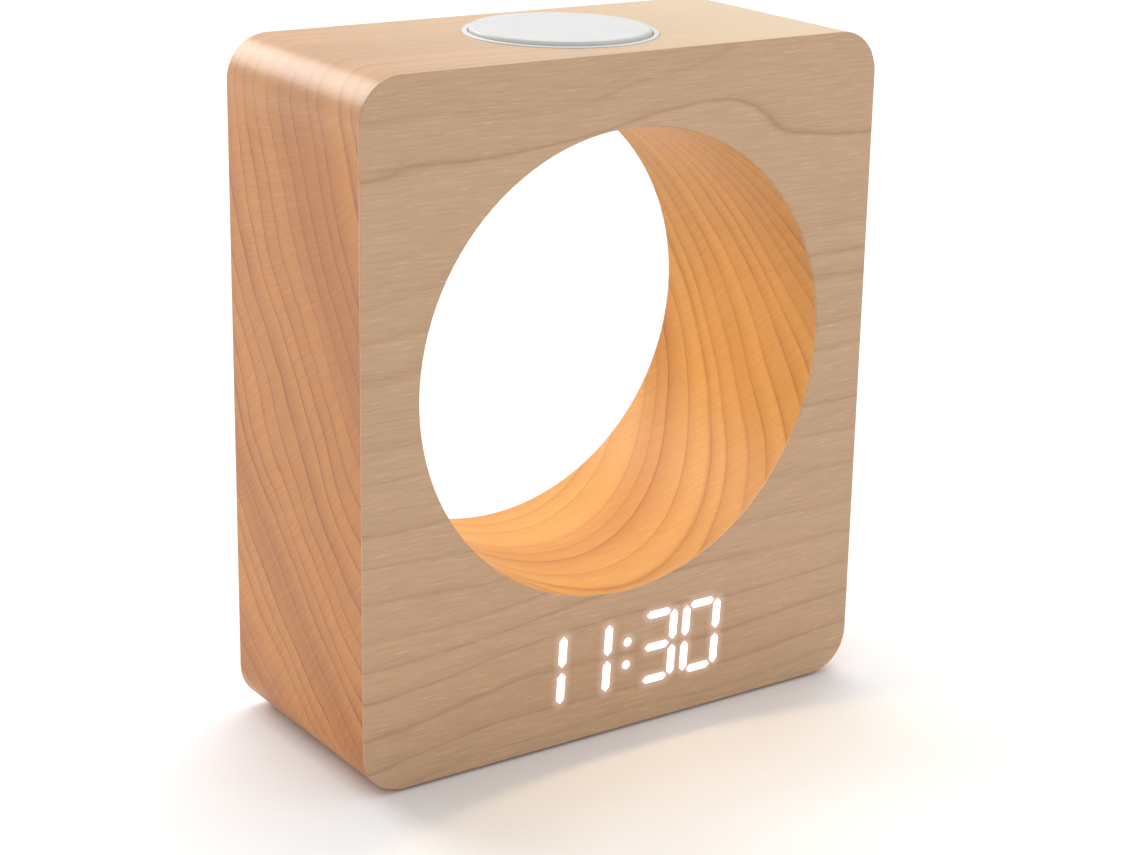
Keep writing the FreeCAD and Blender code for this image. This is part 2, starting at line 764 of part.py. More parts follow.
def rear_cover():
    plate = cover_outline(0, cover_inner, cover_face)
    plate = plate.makeFillet(cover_ease, flat_edges(plate, "Y", cover_face))
    adds = [rod_y(x, z, post_diameter / 2, board_back, cover_inner) for x, z in posts]
    adds += [key_mark(name, x) for x, name in zip(key_x, key_names)]
    cuts = [rod_y(x, z, screw_pilot / 2, board_back, cover_inner) for x, z in posts]
    for x, z in cover_screws:
        cuts.append(rod_y(x, z, screw_shank / 2, cover_inner, cover_face))
        cuts.append(rod_y(x, z, screw_head / 2 + fit_gap, cover_face - screw_head_height, cover_face))
    for x in key_x:
        cuts.append(rod_y(x, bay_z, key_diameter / 2 + key_gap, cover_inner, cover_face))
    cuts.append(socket_outline(fit_gap, cover_inner, cover_face))
    cuts.append(box(
        tray_x - slot_width / 2, tray_x + slot_width / 2, cover_inner, cover_face,
        slot_bottom, tray_bottom + tray_height + tray_run / 2,
    ))
    for n in range(-2, 3):
        length = sound_slot_length - abs(n) * sound_slot_step
        x = sounder_x + n * slot_pitch
        round_end = sound_slot_width / 2 - 0.02
        cuts.append(plate_y(x, bay_z, sound_slot_width, length, round_end, cover_inner, cover_face))
    return plate.fuse(adds).cut(cuts).removeSplitter()


def rear_cover_screws():
    seat = cover_face - screw_head_height
    length = cover_screw_length - screw_head_height
    return Part.makeCompound([screw_y(x, z, seat, length, -1) for x, z in cover_screws])


def key(x):
    """One key: a dished cap, a flange that keeps it behind the cover, and a short stem."""
    crown = cover_face + key_stand
    cap = rod_y(x, bay_z, key_diameter / 2, flange_front, crown)
    cap = cap.makeFillet(key_ease, flat_edges(cap, "Y", crown))
    dish = Part.makeSphere(key_dish_radius, Vector(x, crown + key_dish_radius - key_dish, bay_z))
    flange = rod_y(x, bay_z, key_diameter / 2 + key_flange, flange_front, flange_back)
    stem = rod_y(x, bay_z, plunger_diameter / 2 + 0.2, plunger_top, flange_front)
    return cap.fuse([flange, stem]).cut(dish).removeSplitter()


def switch_plunger(x):
    return rod_y(x, bay_z, plunger_diameter / 2, plunger_foot, plunger_top)


def switch_bodies():
    bodies = []
    half = switch_side / 2
    for x in key_x:
        body = box(x - half, x + half, board_back, switch_top, bay_z - half, bay_z + half)
        well = rod_y(x, bay_z, plunger_diameter / 2 + plunger_gap, switch_top - switch_well, switch_top)
        rivets = [
            rod_y(x + sx * (half - 0.7), bay_z + sz * (half - 0.7), 0.4, switch_top - 0.2, switch_top + 0.2)
            for sx in (-1, 1) for sz in (-1, 1)
        ]
        bodies.append(body.fuse(rivets).cut(well))
    return Part.makeCompound(bodies)


# ---------------------------------------------------------------- main board
def main_board():
    board = box(
        board_left, board_right, board_front, board_back, bay_z - board_height / 2, bay_z + board_height / 2
    )
    return board.cut([rod_y(x, z, screw_shank / 2, board_front, board_back) for x, z in posts])


def main_board_screws():
    return Part.makeCompound([screw_y(x, z, board_front, board_screw_length, 1) for x, z in posts])


def sounder():
    top = board_back + sounder_height
    can = rod_y(sounder_x, bay_z, sounder_diameter / 2, board_back, top)
    can = can.makeFillet(0.6, flat_edges(can, "Y", top))
    return can.cut(rod_y(sounder_x, bay_z, 1.0, top - 1.5, top))


def socket_outline(grow, y0, y1):
    """The cable socket's long-round outline, grown all round."""
    return plate_y(
        socket_x, bay_z, socket_width + 2 * grow, socket_height + 2 * grow,
        socket_height / 2 + grow - 0.02, y0, y1,
    )


def socket_shell():
    mouth = board_back + socket_length
    return socket_outline(0, board_back, mouth).cut(socket_outline(-socket_wall, board_back, mouth))


def socket_insulator():
    plug = socket_outline(-socket_wall, board_back, board_back + socket_plug_length)
    tongue = box(
        socket_x - tongue_width / 2, socket_x + tongue_width / 2, board_back + socket_plug_length / 2,
        board_back + socket_length - tongue_setback, bay_z - tongue_thick / 2, bay_z + tongue_thick / 2,
    )
    return plug.fuse(tongue).removeSplitter()


def socket_contacts():
    """Gold strips on both faces of the socket's tongue."""
    contacts = []
    length = socket_length - tongue_setback - 0.6 - socket_plug_length
    for side in (-1, 1):
        z = bay_z + side * (tongue_thick / 2 + 0.06)
        for n in range(contact_count):
            x = socket_x + (n - (contact_count - 1) / 2) * contact_pitch
            contacts.append(block(x, board_back + socket_plug_length, z, (0.3, length, 0.12)))
    return Part.makeCompound(contacts)


def controller_chip():
    return legged_chip(key_x[1], bay_z - 1.0, board_front, -1, (10.3, 2.3, 7.5), 8, 1.27)


def clock_crystal():
    return plate_y(key_x[2] - 4.0, bay_z, 10.2, 3.8, 1.8, board_front - 3.5, board_front)


def capacitors():
    """Two electrolytic cans, each with the rolled groove above its base."""
    radius = capacitor_diameter / 2
    cans = []
    for n in range(2):
        x = key_x[3] - 2.0 - n * capacitor_pitch
        z = bay_z - 3.0
        can = rod_y(x, z, radius, board_front - capacitor_height, board_front)
        groove = rod_y(x, z, radius + 1, board_front - 2.0, board_front - 1.4)
        cans.append(can.cut(groove.cut(rod_y(x, z, radius - 0.25, board_front - 2.0, board_front - 1.4))))
    return Part.makeCompound(cans)


def choke():
    return plate_y(socket_x - 3.0, bay_z - 5.0, 6.0, 6.0, 1.0, board_front - 2.8, board_front)


def chip_resistors():
    """A row of small parts across the front of the main board."""
    width, thick, height = chip_resistor
    z = bay_z + 5.1
    first = key_x[3] + 4.0
    seat = board_front - thick
    return Part.makeCompound([block(first + n * 3.4, seat, z, (width, thick, height)) for n in range(10)])


def wire_headers():
    return Part.makeCompound(
        [block(x, board_front - header_size[1], z, header_size) for x, z in header_places()]
    )


def ribbon_headers():
    """The ribbon's headers, one on the display board and one on the main board."""
    short, tall = ribbon_header_depth
    width = ribbon_width + 2.0
    return Part.makeCompound([
        block(ribbon_x, display_board_back, ribbon_z, (width, short, 3.2)),
        block(ribbon_x, board_front - tall, ribbon_z, (width, tall, 3.2)),
    ])


def display_ribbon():
    """Flat cable between the two boards: a low arch of four equal bends."""
    y0 = display_board_back + ribbon_header_depth[0]
    y1 = board_front - ribbon_header_depth[1]
    bend = math.radians(ribbon_bend)
    radius = (y1 - y0 - 2 * ribbon_lead) / (4 * math.sin(bend))
    rise = 2 * radius * (1 - math.cos(bend))
    middle = (y0 + y1) / 2

    def side(offset):
        """Edges of one face of the ribbon, from y0 to y1."""
        base = ribbon_z + offset
        valley = radius - offset
        crest = radius + offset
        first_y = y0 + ribbon_lead
        foot = Vector(0, first_y, base)
        foot_mid = Vector(
            0, first_y + valley * math.sin(bend / 2), ribbon_z + radius - valley * math.cos(bend / 2)
        )
        flank = Vector(0, first_y + valley * math.sin(bend), ribbon_z + radius - valley * math.cos(bend))
        top = Vector(0, middle, ribbon_z + rise - radius + crest)

        def mirrored(p):
            return Vector(0, 2 * middle - p.y, p.z)
        return [
            Part.LineSegment(Vector(0, y0, base), foot).toShape(),
            Part.Arc(foot, foot_mid, flank).toShape(),
            Part.Arc(flank, top, mirrored(flank)).toShape(),
            Part.Arc(mirrored(flank), mirrored(foot_mid), mirrored(foot)).toShape(),
            Part.LineSegment(mirrored(foot), Vector(0, y1, base)).toShape(),
        ]

    half = ribbon_thick / 2
    ends = [
        Part.LineSegment(Vector(0, y, ribbon_z - half), Vector(0, y, ribbon_z + half)).toShape()
        for y in (y0, y1)
    ]
    face = Part.Face(Part.Wire(Part.__sortEdges__(side(half) + side(-half) + ends)))
    ribbon = face.extrude(Vector(ribbon_width, 0, 0))
    return ribbon.translate(Vector(ribbon_x - ribbon_width / 2, 0, 0))


# ---------------------------------------------------------------- coin cell drawer
def cell_bay():
    outer = box(
        tray_x - drawer_width / 2, tray_x + drawer_width / 2, drawer_end - drawer_wall, cover_inner,
        slot_bottom - drawer_wall, slot_top + drawer_wall,
    )
    slot = box(
        tray_x - slot_width / 2, tray_x + slot_width / 2, drawer_end, cover_inner, slot_bottom, slot_top
    )
    return outer.cut([slot] + contact_tab_shapes())


def cell_tray():
    top = tray_bottom + tray_height
    lip_face = cover_face + tray_lip_gap
    lip_z = tray_bottom + tray_height / 2
    body = box(tray_x - tray_width / 2, tray_x + tray_width / 2, tray_end, lip_face, tray_bottom, top)
    floor = tray_bottom + tray_floor
    well = rod_z(tray_x, cell_y, cell_diameter / 2 + cell_gap, floor, top + beyond)
    slot = box(tray_x - tray_channel, tray_x + tray_channel, tray_end - beyond, cell_y, floor, top + beyond)
    window = rod_z(tray_x, cell_y, cell_diameter / 2 - cell_shelf, tray_bottom - beyond, floor)
    lip = plate_y(
        tray_x, lip_z, tray_width + 2 * tray_lip_lap, tray_height + 2 * tray_lip_lap, 1.2,
        lip_face, lip_face + tray_lip,
    )
    grip = rod_x(lip_face + tray_lip + 0.6, lip_z, 1.0, tray_x - 6, tray_x + 6)
    return body.cut([well, slot, window]).fuse(lip).cut(grip).removeSplitter()


def coin_cell():
    base = tray_bottom + tray_floor
    can = rod_z(tray_x, cell_y, cell_diameter / 2, base, base + cell_thick - cell_step_height)
    can = can.makeFillet(0.5, flat_edges(can, "Z", base + cell_thick - cell_step_height))
    cap = rod_z(tray_x, cell_y, cell_diameter / 2 - cell_step, base, base + cell_thick)
    return can.fuse(cap).removeSplitter()


def contact_tab_places():
    """Middles of the two contact ends, at the drawer bay's end wall."""
    return [(tray_x, slot_top - contact_thick / 2), (tray_x + end_contact_side, bay_z)]


def contact_tab_shapes():
    outside = drawer_end - drawer_wall - contact_tab
    length = drawer_end - outside
    roof, end = contact_tab_places()
    return [
        block(roof[0], outside, roof[1], (2 * contact_half, length, contact_thick)),
        block(end[0], outside, end[1], (end_contact_width, length, contact_thick)),
    ]


def cell_contacts():
    """A roof spring on the cell's cap and an end spring beside the tray, with ends for the leads."""
    roof_tab, end_tab = contact_tab_shapes()
    roof = box(
        tray_x - contact_half, tray_x + contact_half, drawer_end, cell_y + contact_reach,
        slot_top - contact_thick, slot_top,
    )
    end = block(
        tray_x + end_contact_side, drawer_end, bay_z, (end_contact_width, contact_thick, slot_height - 1.4)
    )
    return Part.makeCompound([roof.fuse(roof_tab).removeSplitter(), end.fuse(end_tab).removeSplitter()])


# ---------------------------------------------------------------- charger
def charger_pad():
    disc = rod_z(0, 0, pad_diameter / 2, pad_bottom, pad_top)
    disc = disc.makeFillet(pad_round, flat_edges(disc, "Z", pad_top))
    skirt_outer = cup_inner - fit_gap
    skirt = ring_z(skirt_outer - skirt_thick, skirt_outer, pad_bottom - skirt_height, pad_bottom)
    return disc.fuse(skirt).removeSplitter()


def charger_cup():
    """A cup in the core, with the white rim that shows round the pad."""
    rim_top = body_top + rim_stand
    rim = ring_z(rim_inner, rim_outer, rim_top - rim_thick, rim_top)
    rim = rim.makeFillet(0.25, flat_edges(rim, "Z", rim_top))
    wall = ring_z(cup_inner, cup_outer, cup_bottom, pad_bottom - glue_gap)
    floor = rod_z(0, 0, cup_outer, cup_bottom, cup_floor)
    notch = box(cup_inner - 2, cup_outer + beyond, -feed_radius, feed_radius, cup_floor, charger_feed_z + 2)
    holes = [rod_z(x, y, screw_shank / 2, cup_bottom, cup_floor) for x, y in charger_screw_places()]
    return wall.fuse([floor, rim]).removeSplitter().cut([notch] + holes)


def charger_coil():
    """A flat spiral of half circles, their middles stepping half a pitch to and fro."""
    edges = []
    radius = coil_inner / 2 + coil_wire / 2
    middle_x = 0.0
    side = 1
    for _ in range(2 * coil_turns - 1):
        start = Vector(middle_x + side * radius, 0, coil_z)
        crown = Vector(middle_x, side * radius, coil_z)
        end = Vector(middle_x - side * radius, 0, coil_z)
        edges.append(Part.Arc(start, crown, end).toShape())
        middle_x += side * coil_pitch / 2
        radius += coil_pitch / 2
        side = -side
    first = Vector(coil_inner / 2 + coil_wire / 2, 0, coil_z)
    section = Part.Wire(Part.Circle(first, Vector(0, 1, 0), coil_wire / 2).toShape())
    return Part.Wire(edges).makePipeShell([section], True, False)


def ferrite_disc():
    return rod_z(0, 0, coil_outer / 2 + ferrite_lap, ferrite_top - ferrite_thick, ferrite_top)


def charger_board():
    return rod_z(0, 0, charger_board_diameter / 2, charger_board_bottom, charger_board_top)


def charger_board_parts():
    """Bridge chips, controller and a row of small parts on the underside of the charger's board."""
    chips = [(-5.5, -0.5, 5.0, 5.0), (4.5, -7.0, 5.0, 4.0), (0.0, 9.0, 6.0, 6.0), (9.5, 6.5, 3.0, 3.0)]
    chips += [(-9.2 + n * 3.0, -12.1, 1.6, 1.0) for n in range(6)]
    z1 = charger_board_bottom
    return Part.makeCompound(
        [box(x - w / 2, x + w / 2, y - d / 2, y + d / 2, z1 - 1.0, z1) for x, y, w, d in chips]
    )


def charger_screws():
    screws = []
    for x, y in charger_screw_places():
        head = rod_z(x, y, screw_head / 2, cup_floor, cup_floor + 1.0)
        shank = rod_z(x, y, screw_pilot / 2, cup_bottom - cup_screw_bite, cup_floor)
        half = screw_head / 2 - 0.8
        slots = [
            box(x - half, x + half, y - screw_slot / 2, y + screw_slot / 2, cup_floor + 0.5, cup_floor + 1.0),
            box(x - screw_slot / 2, x + screw_slot / 2, y - half, y + half, cup_floor + 0.5, cup_floor + 1.0),
        ]
        screws.append(head.fuse(shank).cut(slots))
    return Part.makeCompound(screws)


# ---------------------------------------------------------------- lamp in the roof of the hole
def lamp_lens():
    return arc_block(hole_radius, lens_outer, lamp_end, lamp_width / 2)


def lamp_tray():
    """A light tray over the lens, open towards it."""
    outer = arc_block(lens_outer, lamp_tray_outer, lamp_end, lamp_width / 2)
    inner = arc_block(
        lens_outer - beyond, lamp_tray_inner, lamp_end - lamp_tray_skin / hole_radius,
        lamp_width / 2 - lamp_tray_skin,
    )
    entry, way = lamp_way()
    way.normalize()
    lead_hole = Part.makeCylinder(feed_radius, lamp_room + 2.0, entry - way * 2.0, way)
    return outer.cut([inner, lead_hole])


def lamp_strip():
    half_angle = lamp_end - math.radians(strip_inset)
    return arc_block(strip_inner, strip_inner + strip_thick, half_angle, strip_width / 2)


def lamp_leds():
    """Lights set evenly along the strip, their corners on its curve."""
    along, across, thick = lamp_led
    seat = math.sqrt(strip_inner ** 2 - (along / 2) ** 2)
    spread = lamp_half_angle - lamp_led_inset
    chips = []
    for n in range(lamp_led_count):
        angle = spread * (2 * n / (lamp_led_count - 1) - 1)
        chip = box(-along / 2, along / 2, -across / 2, across / 2, hole_z + seat - thick, hole_z + seat)
        chips.append(chip.rotate(Vector(0, 0, hole_z), Vector(0, 1, 0), angle))
    return Part.makeCompound(chips)


# ---------------------------------------------------------------- wiring
def lead_pair(points):
    """Two leads side by side, both starting level with the pair's first point."""
    leads = []
    for sign in (-1, 1):
        shift = Vector(sign * wire_spread, -sign * wire_spread, 0)
        route = [point + shift for point in points]
        route[0] = Vector(points[0].x, route[0].y, route[0].z)
        leads.append(tube(route, wire_diameter))
    return leads


def channel_route(depth, header, rise):
    """The way from a header, over the drawer bay and up the channel, as far as its slope."""
    x, z = header
    y = channel_floor + depth
    start_y = board_front - header_size[1] / 2
    z += rise
    slope = Vector(channel_x - junction_x, 0, channel_turn_z - junction_z)
    slope.normalize()
    half_z = (channel_start_z + channel_turn_z) / 2
    return [
        Vector(x + header_size[0] / 2, start_y, z),
        Vector(board_right + 6.4, start_y, z),
        Vector(bay_half - 12.0, y - 0.8, z - 0.4),
        Vector(bay_half, y, channel_start_z + 1.2),
        Vector(channel_x - 4.8, y, channel_start_z - 1.6),
        Vector(channel_x + 0.3, y, channel_start_z + 3.4),
        Vector(channel_x - 0.2, y, channel_start_z + 14.4),
        Vector(channel_x + 0.2, y, half_z),
        Vector(channel_x - 0.2, y, channel_turn_z - 20.0),
        Vector(channel_x, y, channel_turn_z),
        Vector(junction_x, y, junction_z) + slope * junction_lead_in,
    ]


def charger_leads():
    points = channel_route(charger_lead_depth, header_places()[1], 0.6)
    x = junction_x + 0.5
    points += [
        Vector(x, points[-1].y, charger_feed_z),
        Vector(x, 0, charger_feed_z),
        Vector(cup_inner - 2.5, 0, charger_feed_z),
        Vector(charger_board_diameter / 2 - charger_lead_lap, 0, charger_board_bottom - wire_diameter / 2),
    ]
    return lead_pair(points)


def lamp_leads():
    points = channel_route(lamp_lead_depth, header_places()[0], 0.0)
    entry, way = lamp_way()
    way.normalize()
    turn = Vector(junction_x, 0, junction_z) - way * (lamp_lead_low / way.z)
    points += [Vector(turn.x, points[-1].y, turn.z), turn, entry - way * wire_clear]
    return lead_pair(points)


def cell_leads():
    """One lead from the cell's header to each contact end."""
    x, z = header_places()[2]
    start_y = board_front - header_size[1]
    tab_y = drawer_end - drawer_wall - contact_tab
    leads = []
    for side, (tab_x, tab_z) in zip((1, -1), contact_tab_places()):
        start_z = z + side * 1.1
        leads.append(tube([
            Vector(x, start_y, start_z),
            Vector(x, start_y - 7.0, start_z),
            Vector(x + cell_lead_step, tab_y - 3.0, start_z),
            Vector(tab_x - 6.5, tab_y - 6.5, start_z),
            Vector(tab_x, tab_y - 5.0, tab_z),
            Vector(tab_x, tab_y, tab_z),
        ], wire_diameter))
    return leads


def build():
    os.makedirs("parts", exist_ok=True)
    save("body_core", body_core())
    save("side_wrap", side_wrap())
    save("bore_lining", bore_lining())
    save("front_veneer", face_veneer(front_y, core_front, front_y))
    save("rear_veneer", rear_veneer())
    save("channel_lath", channel_lath())
    save("rubber_feet", rubber_feet())
    save("display_housing", display_housing())
    for name, x in zip(digit_names, digit_x):
        save(name + "_segments", segment_guides(x))
    save("colon_segments", colon_guides())
    save("display_board", display_board())
    save("display_leds", display_leds())
    save("display_driver_chip", display_driver_chip())
    save("display_screws", display_screws())
    save("rear_cover", rear_cover())
    save("rear_cover_screws", rear_cover_screws())
    for name, x in zip(key_names, key_x):
        save(name + "_key", key(x))
        save(name + "_switch_plunger", switch_plunger(x))
    save("switch_bodies", switch_bodies())
    save("main_board", main_board())
    save("main_board_screws", main_board_screws())
    save("sounder", sounder())
    save("socket_shell", socket_shell())
    save("socket_insulator", socket_insulator())
    save("socket_contacts", socket_contacts())
    save("controller_chip", controller_chip())
    save("clock_crystal", clock_crystal())
    save("capacitors", capacitors())
    save("choke", choke())
    save("chip_resistors", chip_resistors())
    save("wire_headers", wire_headers())
    save("ribbon_headers", ribbon_headers())
    save("display_ribbon", display_ribbon())
    save("cell_bay", cell_bay())
    save("cell_tray", cell_tray())
    save("coin_cell", coin_cell())
    save("cell_contacts", cell_contacts())
    save("charger_pad", charger_pad())
    save("charger_cup", charger_cup())
    save("charger_coil", charger_coil())
    save("ferrite_disc", ferrite_disc())
    save("charger_board", charger_board())
    save("charger_board_parts", charger_board_parts())
    save("charger_screws", charger_screws())
    save("lamp_lens", lamp_lens())
    save("lamp_tray", lamp_tray())
    save("lamp_strip", lamp_strip())
    save("lamp_leds", lamp_leds())
    save("charger_leads", *charger_leads())
    save("lamp_leads", *lamp_leads())
    save("cell_leads", *cell_leads())


build()
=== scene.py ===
import math
from functools import partial

import bmesh
import bpy
from mathutils import Matrix, Vector


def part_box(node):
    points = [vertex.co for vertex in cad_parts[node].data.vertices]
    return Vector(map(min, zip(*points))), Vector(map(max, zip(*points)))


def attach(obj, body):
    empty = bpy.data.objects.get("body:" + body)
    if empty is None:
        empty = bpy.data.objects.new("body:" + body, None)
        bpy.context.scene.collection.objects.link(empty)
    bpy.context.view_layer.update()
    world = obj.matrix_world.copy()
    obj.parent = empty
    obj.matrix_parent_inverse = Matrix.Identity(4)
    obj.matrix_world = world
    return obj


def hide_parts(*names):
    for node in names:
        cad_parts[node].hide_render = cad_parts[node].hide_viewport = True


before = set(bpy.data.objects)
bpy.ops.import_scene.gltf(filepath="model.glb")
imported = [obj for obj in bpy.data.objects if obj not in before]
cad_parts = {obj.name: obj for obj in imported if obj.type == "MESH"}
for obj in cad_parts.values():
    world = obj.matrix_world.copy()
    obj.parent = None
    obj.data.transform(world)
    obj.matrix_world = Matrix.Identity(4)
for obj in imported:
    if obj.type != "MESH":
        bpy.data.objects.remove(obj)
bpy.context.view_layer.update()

bl_info = {
    "name": "Wooden window clock",
    "version": (1, 0, 0),
    "blender": (4, 5, 0),
    "location": "3D View > Sidebar > Clock",
    "description": "Finishes, lit time, lamp and studio for a wooden block clock with a round window",
    "category": "Object",
}

MM = 0.001
FRONT_LOW, FRONT_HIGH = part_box("front_veneer")
LENS_LOW, LENS_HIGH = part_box("lamp_lens")
DIGIT_NODES = (
    "hour_tens_segments", "hour_units_segments", "minute_tens_segments", "minute_units_segments",
)
SEGMENTS_OF = {
    0: "abcdef", 1: "bc", 2: "abdeg", 3: "abcdg", 4: "bcfg",
    5: "acdfg", 6: "acdefg", 7: "abc", 8: "abcdefg", 9: "abcdfg",
}
SEGMENT_STAND = 0.05 * MM    # the lit segments' faces stand this far in front of the veneer
SEGMENT_HALF = 1.05 * MM     # half the width of a lit segment
CUT_SPARE = 1 * MM           # the segments' cuts run this far past the veneer
SAME_POINT = 0.001 * MM      # corners nearer than this are one corner


# ---------------------------------------------------------------- colours and nodes
def linear(colour):
    """An sRGB hex colour as linear red, green, blue and alpha; a colour that is linear already stays."""
    if not isinstance(colour, str):
        return tuple(colour)
    parts = [int(colour[n:n + 2], 16) / 255 for n in (1, 3, 5)]
    return tuple(p / 12.92 if p <= 0.04045 else ((p + 0.055) / 1.055) ** 2.4 for p in parts) + (1.0,)


def darker(colour, share):
    """The same hue with this share of its light."""
    return tuple(part * share for part in linear(colour)[:3]) + (1.0,)


def grey(value):
    """A neutral colour with this much light."""
    return (value, value, value, 1.0)


def add(tree, kind, links, out=0, stops=(), **settings):
    """Adds one node with its settings and links, and gives back one of its outputs.

    links names or lists the input sockets, each with a value or another node's output. stops are a
    colour ramp's positions and colours.
    """
    node = tree.nodes.new("ShaderNode" + kind)
    for name, value in settings.items():
        setattr(node, name, value)
    for n, (position, colour) in enumerate(stops):
        bands = node.color_ramp.elements
        band = bands[n] if n < len(bands) else bands.new(position)
        band.position, band.color = position, colour
    for socket, value in links.items() if isinstance(links, dict) else enumerate(links):
        if isinstance(value, bpy.types.NodeSocket):
            tree.links.new(value, node.inputs[socket])
        else:
            node.inputs[socket].default_value = value
    return node.outputs[out] if node.outputs else None


def new_material(name):
    """An empty material, what adds nodes to it, and the point on the surface in millimetres, in the
    object's own frame."""
    material = bpy.data.materials.new(name)
    material.use_nodes = True
    material.node_tree.nodes.clear()
    node = partial(add, material.node_tree)
    place = node("TexCoord", {}, out="Object")
    return material, node, node("VectorMath", {0: place, "Scale": 1 / MM}, operation="SCALE")


def finished(material, links):
    """The material, once it has its surface."""
    surface = add(material.node_tree, "BsdfPrincipled", links)
    add(material.node_tree, "OutputMaterial", {"Surface": surface})
    return material


# ---------------------------------------------------------------- wood
PITH_Y, PITH_Z = -158.0, 208.0  # the log's heart runs along X in front of the block and high up
LEAN = 0.045                 # how far the heart climbs for each millimetre along X
HEARTWOOD = 160.0            # radius of the redder wood, in millimetres
WRAP_RINGS, LINING_RINGS, LATH_RINGS = 0.88, 0.84, 0.5  # ring spacing, as shares of the face veneers'
# Painted light: the top of the wrap is painted paler, as light from above falls on it, more at the right
# end.
PAINTED_TOP_FROM, PAINTED_TOP_TO = 142.0, 176.0  # heights over which the painted top light fades in on the wrap, in millimetres
PAINTED_TOP_LEFT, PAINTED_TOP_RIGHT = 0.34, 0.92  # how strong the painted top light is at the left and at the right end
HALO_FALL, HALO_TOP = 1.6, 0.62  # how fast the glow round a segment fades, and its strength at the edge

FLAT_CUT = {                 # face veneers: thin wavy late-wood lines, long fibres, short flecks
    "late": ((0.0, 0.05), (0.05, 0.0), (0.45, 0.03), (0.78, 0.14), (0.87, 0.36), (0.91, 0.68),
             (0.96, 0.24), (1.0, 0.05)),
    "wander": 20.0, "wobble": 1.5, "fibre": 0.085, "ray": 0.03, "fleck": 0.16, "bands": 0.10,
    "heart": 0.0, "least": 0.35, "gloss": 0.5, "coat": 0.10,
}
RIFT_CUT = {                 # wrap: each year darkens and then steps back to pale
    "late": ((0.0, 0.30), (0.04, 0.0), (0.30, 0.05), (0.70, 0.26), (0.88, 0.46), (0.94, 1.0),
             (0.975, 0.85), (1.0, 0.30)),
    "wander": 13.0, "wobble": 1.5, "fibre": 0.05, "ray": 0.085, "fleck": 0.0, "bands": 0.30,
    "heart": 0.34, "least": 0.62, "gloss": 0.34, "coat": 0.2,
}
LINING_CUT = {               # window lining: the same log, its lines softer and smoother
    "late": ((0.0, 0.28), (0.05, 0.0), (0.30, 0.05), (0.70, 0.24), (0.88, 0.44), (0.94, 0.86),
             (0.975, 0.66), (1.0, 0.28)),
    "wander": 7.0, "wobble": 0.6, "fibre": 0.05, "ray": 0.05, "fleck": 0.0, "bands": 0.26,
    "heart": 0.15, "least": 0.45, "gloss": 0.2, "coat": 0.0,
}


def log_rings(node, point, spacing, cut):
    """Ring darkness, fibre, ray, broad tone and red heart of the one log all the veneers come from."""
    wander, wobble = cut["wander"], cut["wobble"]
    shared = node("VectorMath", (point, (0.42, 1.0, 1.0)), operation="MULTIPLY")
    slow = node("TexNoise", {"Vector": shared, "Scale": 1 / 46, "Detail": 1.0}, out="Color")
    quick = node("TexNoise", {"Vector": shared, "Scale": 1 / 9, "Detail": 2.0}, out="Color")
    bent = node("VectorMath", (slow, (0.0, wander, wander), point), operation="MULTIPLY_ADD")
    bent = node("VectorMath", (quick, (0.0, wobble, wobble), bent), operation="MULTIPLY_ADD")
    mean = (wander + wobble) / 2
    away = node("VectorMath", (bent, (0.0, PITH_Y + mean, PITH_Z + mean)), operation="SUBTRACT")
    across, up = node("SeparateXYZ", (away,), out=slice(1, 3))
    along = node("SeparateXYZ", (point,))
    up = node("Math", (along, -LEAN, up), operation="MULTIPLY_ADD")
    flat = node("CombineXYZ", (0.0, across, up))
    radius = node("VectorMath", (flat,), out="Value", operation="LENGTH")
    turn = node("Math", (up, across), operation="ARCTAN2")

    year = node("Math", (radius, 1 / spacing), operation="MULTIPLY")
    uneven = node("TexNoise", {"W": year, "Scale": 0.7, "Detail": 1.0}, noise_dimensions="1D")
    year = node("Math", (year, uneven), operation="ADD")
    late = node("ValToRGB", (node("Math", (year,), operation="FRACT"),),
                stops=[(at, grey(dark)) for at, dark in cut["late"]])
    year = node("Math", (year,), operation="FLOOR")
    strength = node("TexWhiteNoise", {"W": year}, noise_dimensions="1D")
    strength = node("MapRange", (strength, 0.0, 1.0, cut["least"], 1.0))
    patchy = node("VectorMath", (point, (0.33, 1.0, 1.0)), operation="MULTIPLY")
    patchy = node("TexNoise", {"Vector": patchy, "Scale": 1 / 22, "Detail": 2.0})
    patchy = node("MapRange", (patchy, 0.32, 0.62, 0.55, 1.0))
    ring = node("Math", (late, strength), operation="MULTIPLY")
    ring = node("Math", (ring, patchy), operation="MULTIPLY")

    fibre = node("VectorMath", (point, (1 / 30, 1.0, 1.0)), operation="MULTIPLY")
    fibre = node("TexNoise", {"Vector": fibre, "Scale": 1 / 0.5, "Detail": 3.0, "Roughness": 0.65})
    ray = node("CombineXYZ", (radius, turn, along))
    ray = node("VectorMath", (ray, (0.072, 320.0, 0.096)), operation="MULTIPLY")
    ray = node("TexNoise", {"Vector": ray, "Scale": 1.0, "Detail": 3.0, "Roughness": 0.6})
    broad = node("TexNoise", {"W": radius, "Scale": 1 / 17, "Detail": 2.0}, noise_dimensions="1D")
    heart = node("Math", (radius, HEARTWOOD), operation="SUBTRACT")
    heart = node("Math", (heart,), operation="ABSOLUTE")
    heart = node("MapRange", (heart, 6.0, 20.0, cut["heart"], 0.0), interpolation_type="SMOOTHSTEP")
    return ring, fibre, ray, broad, heart


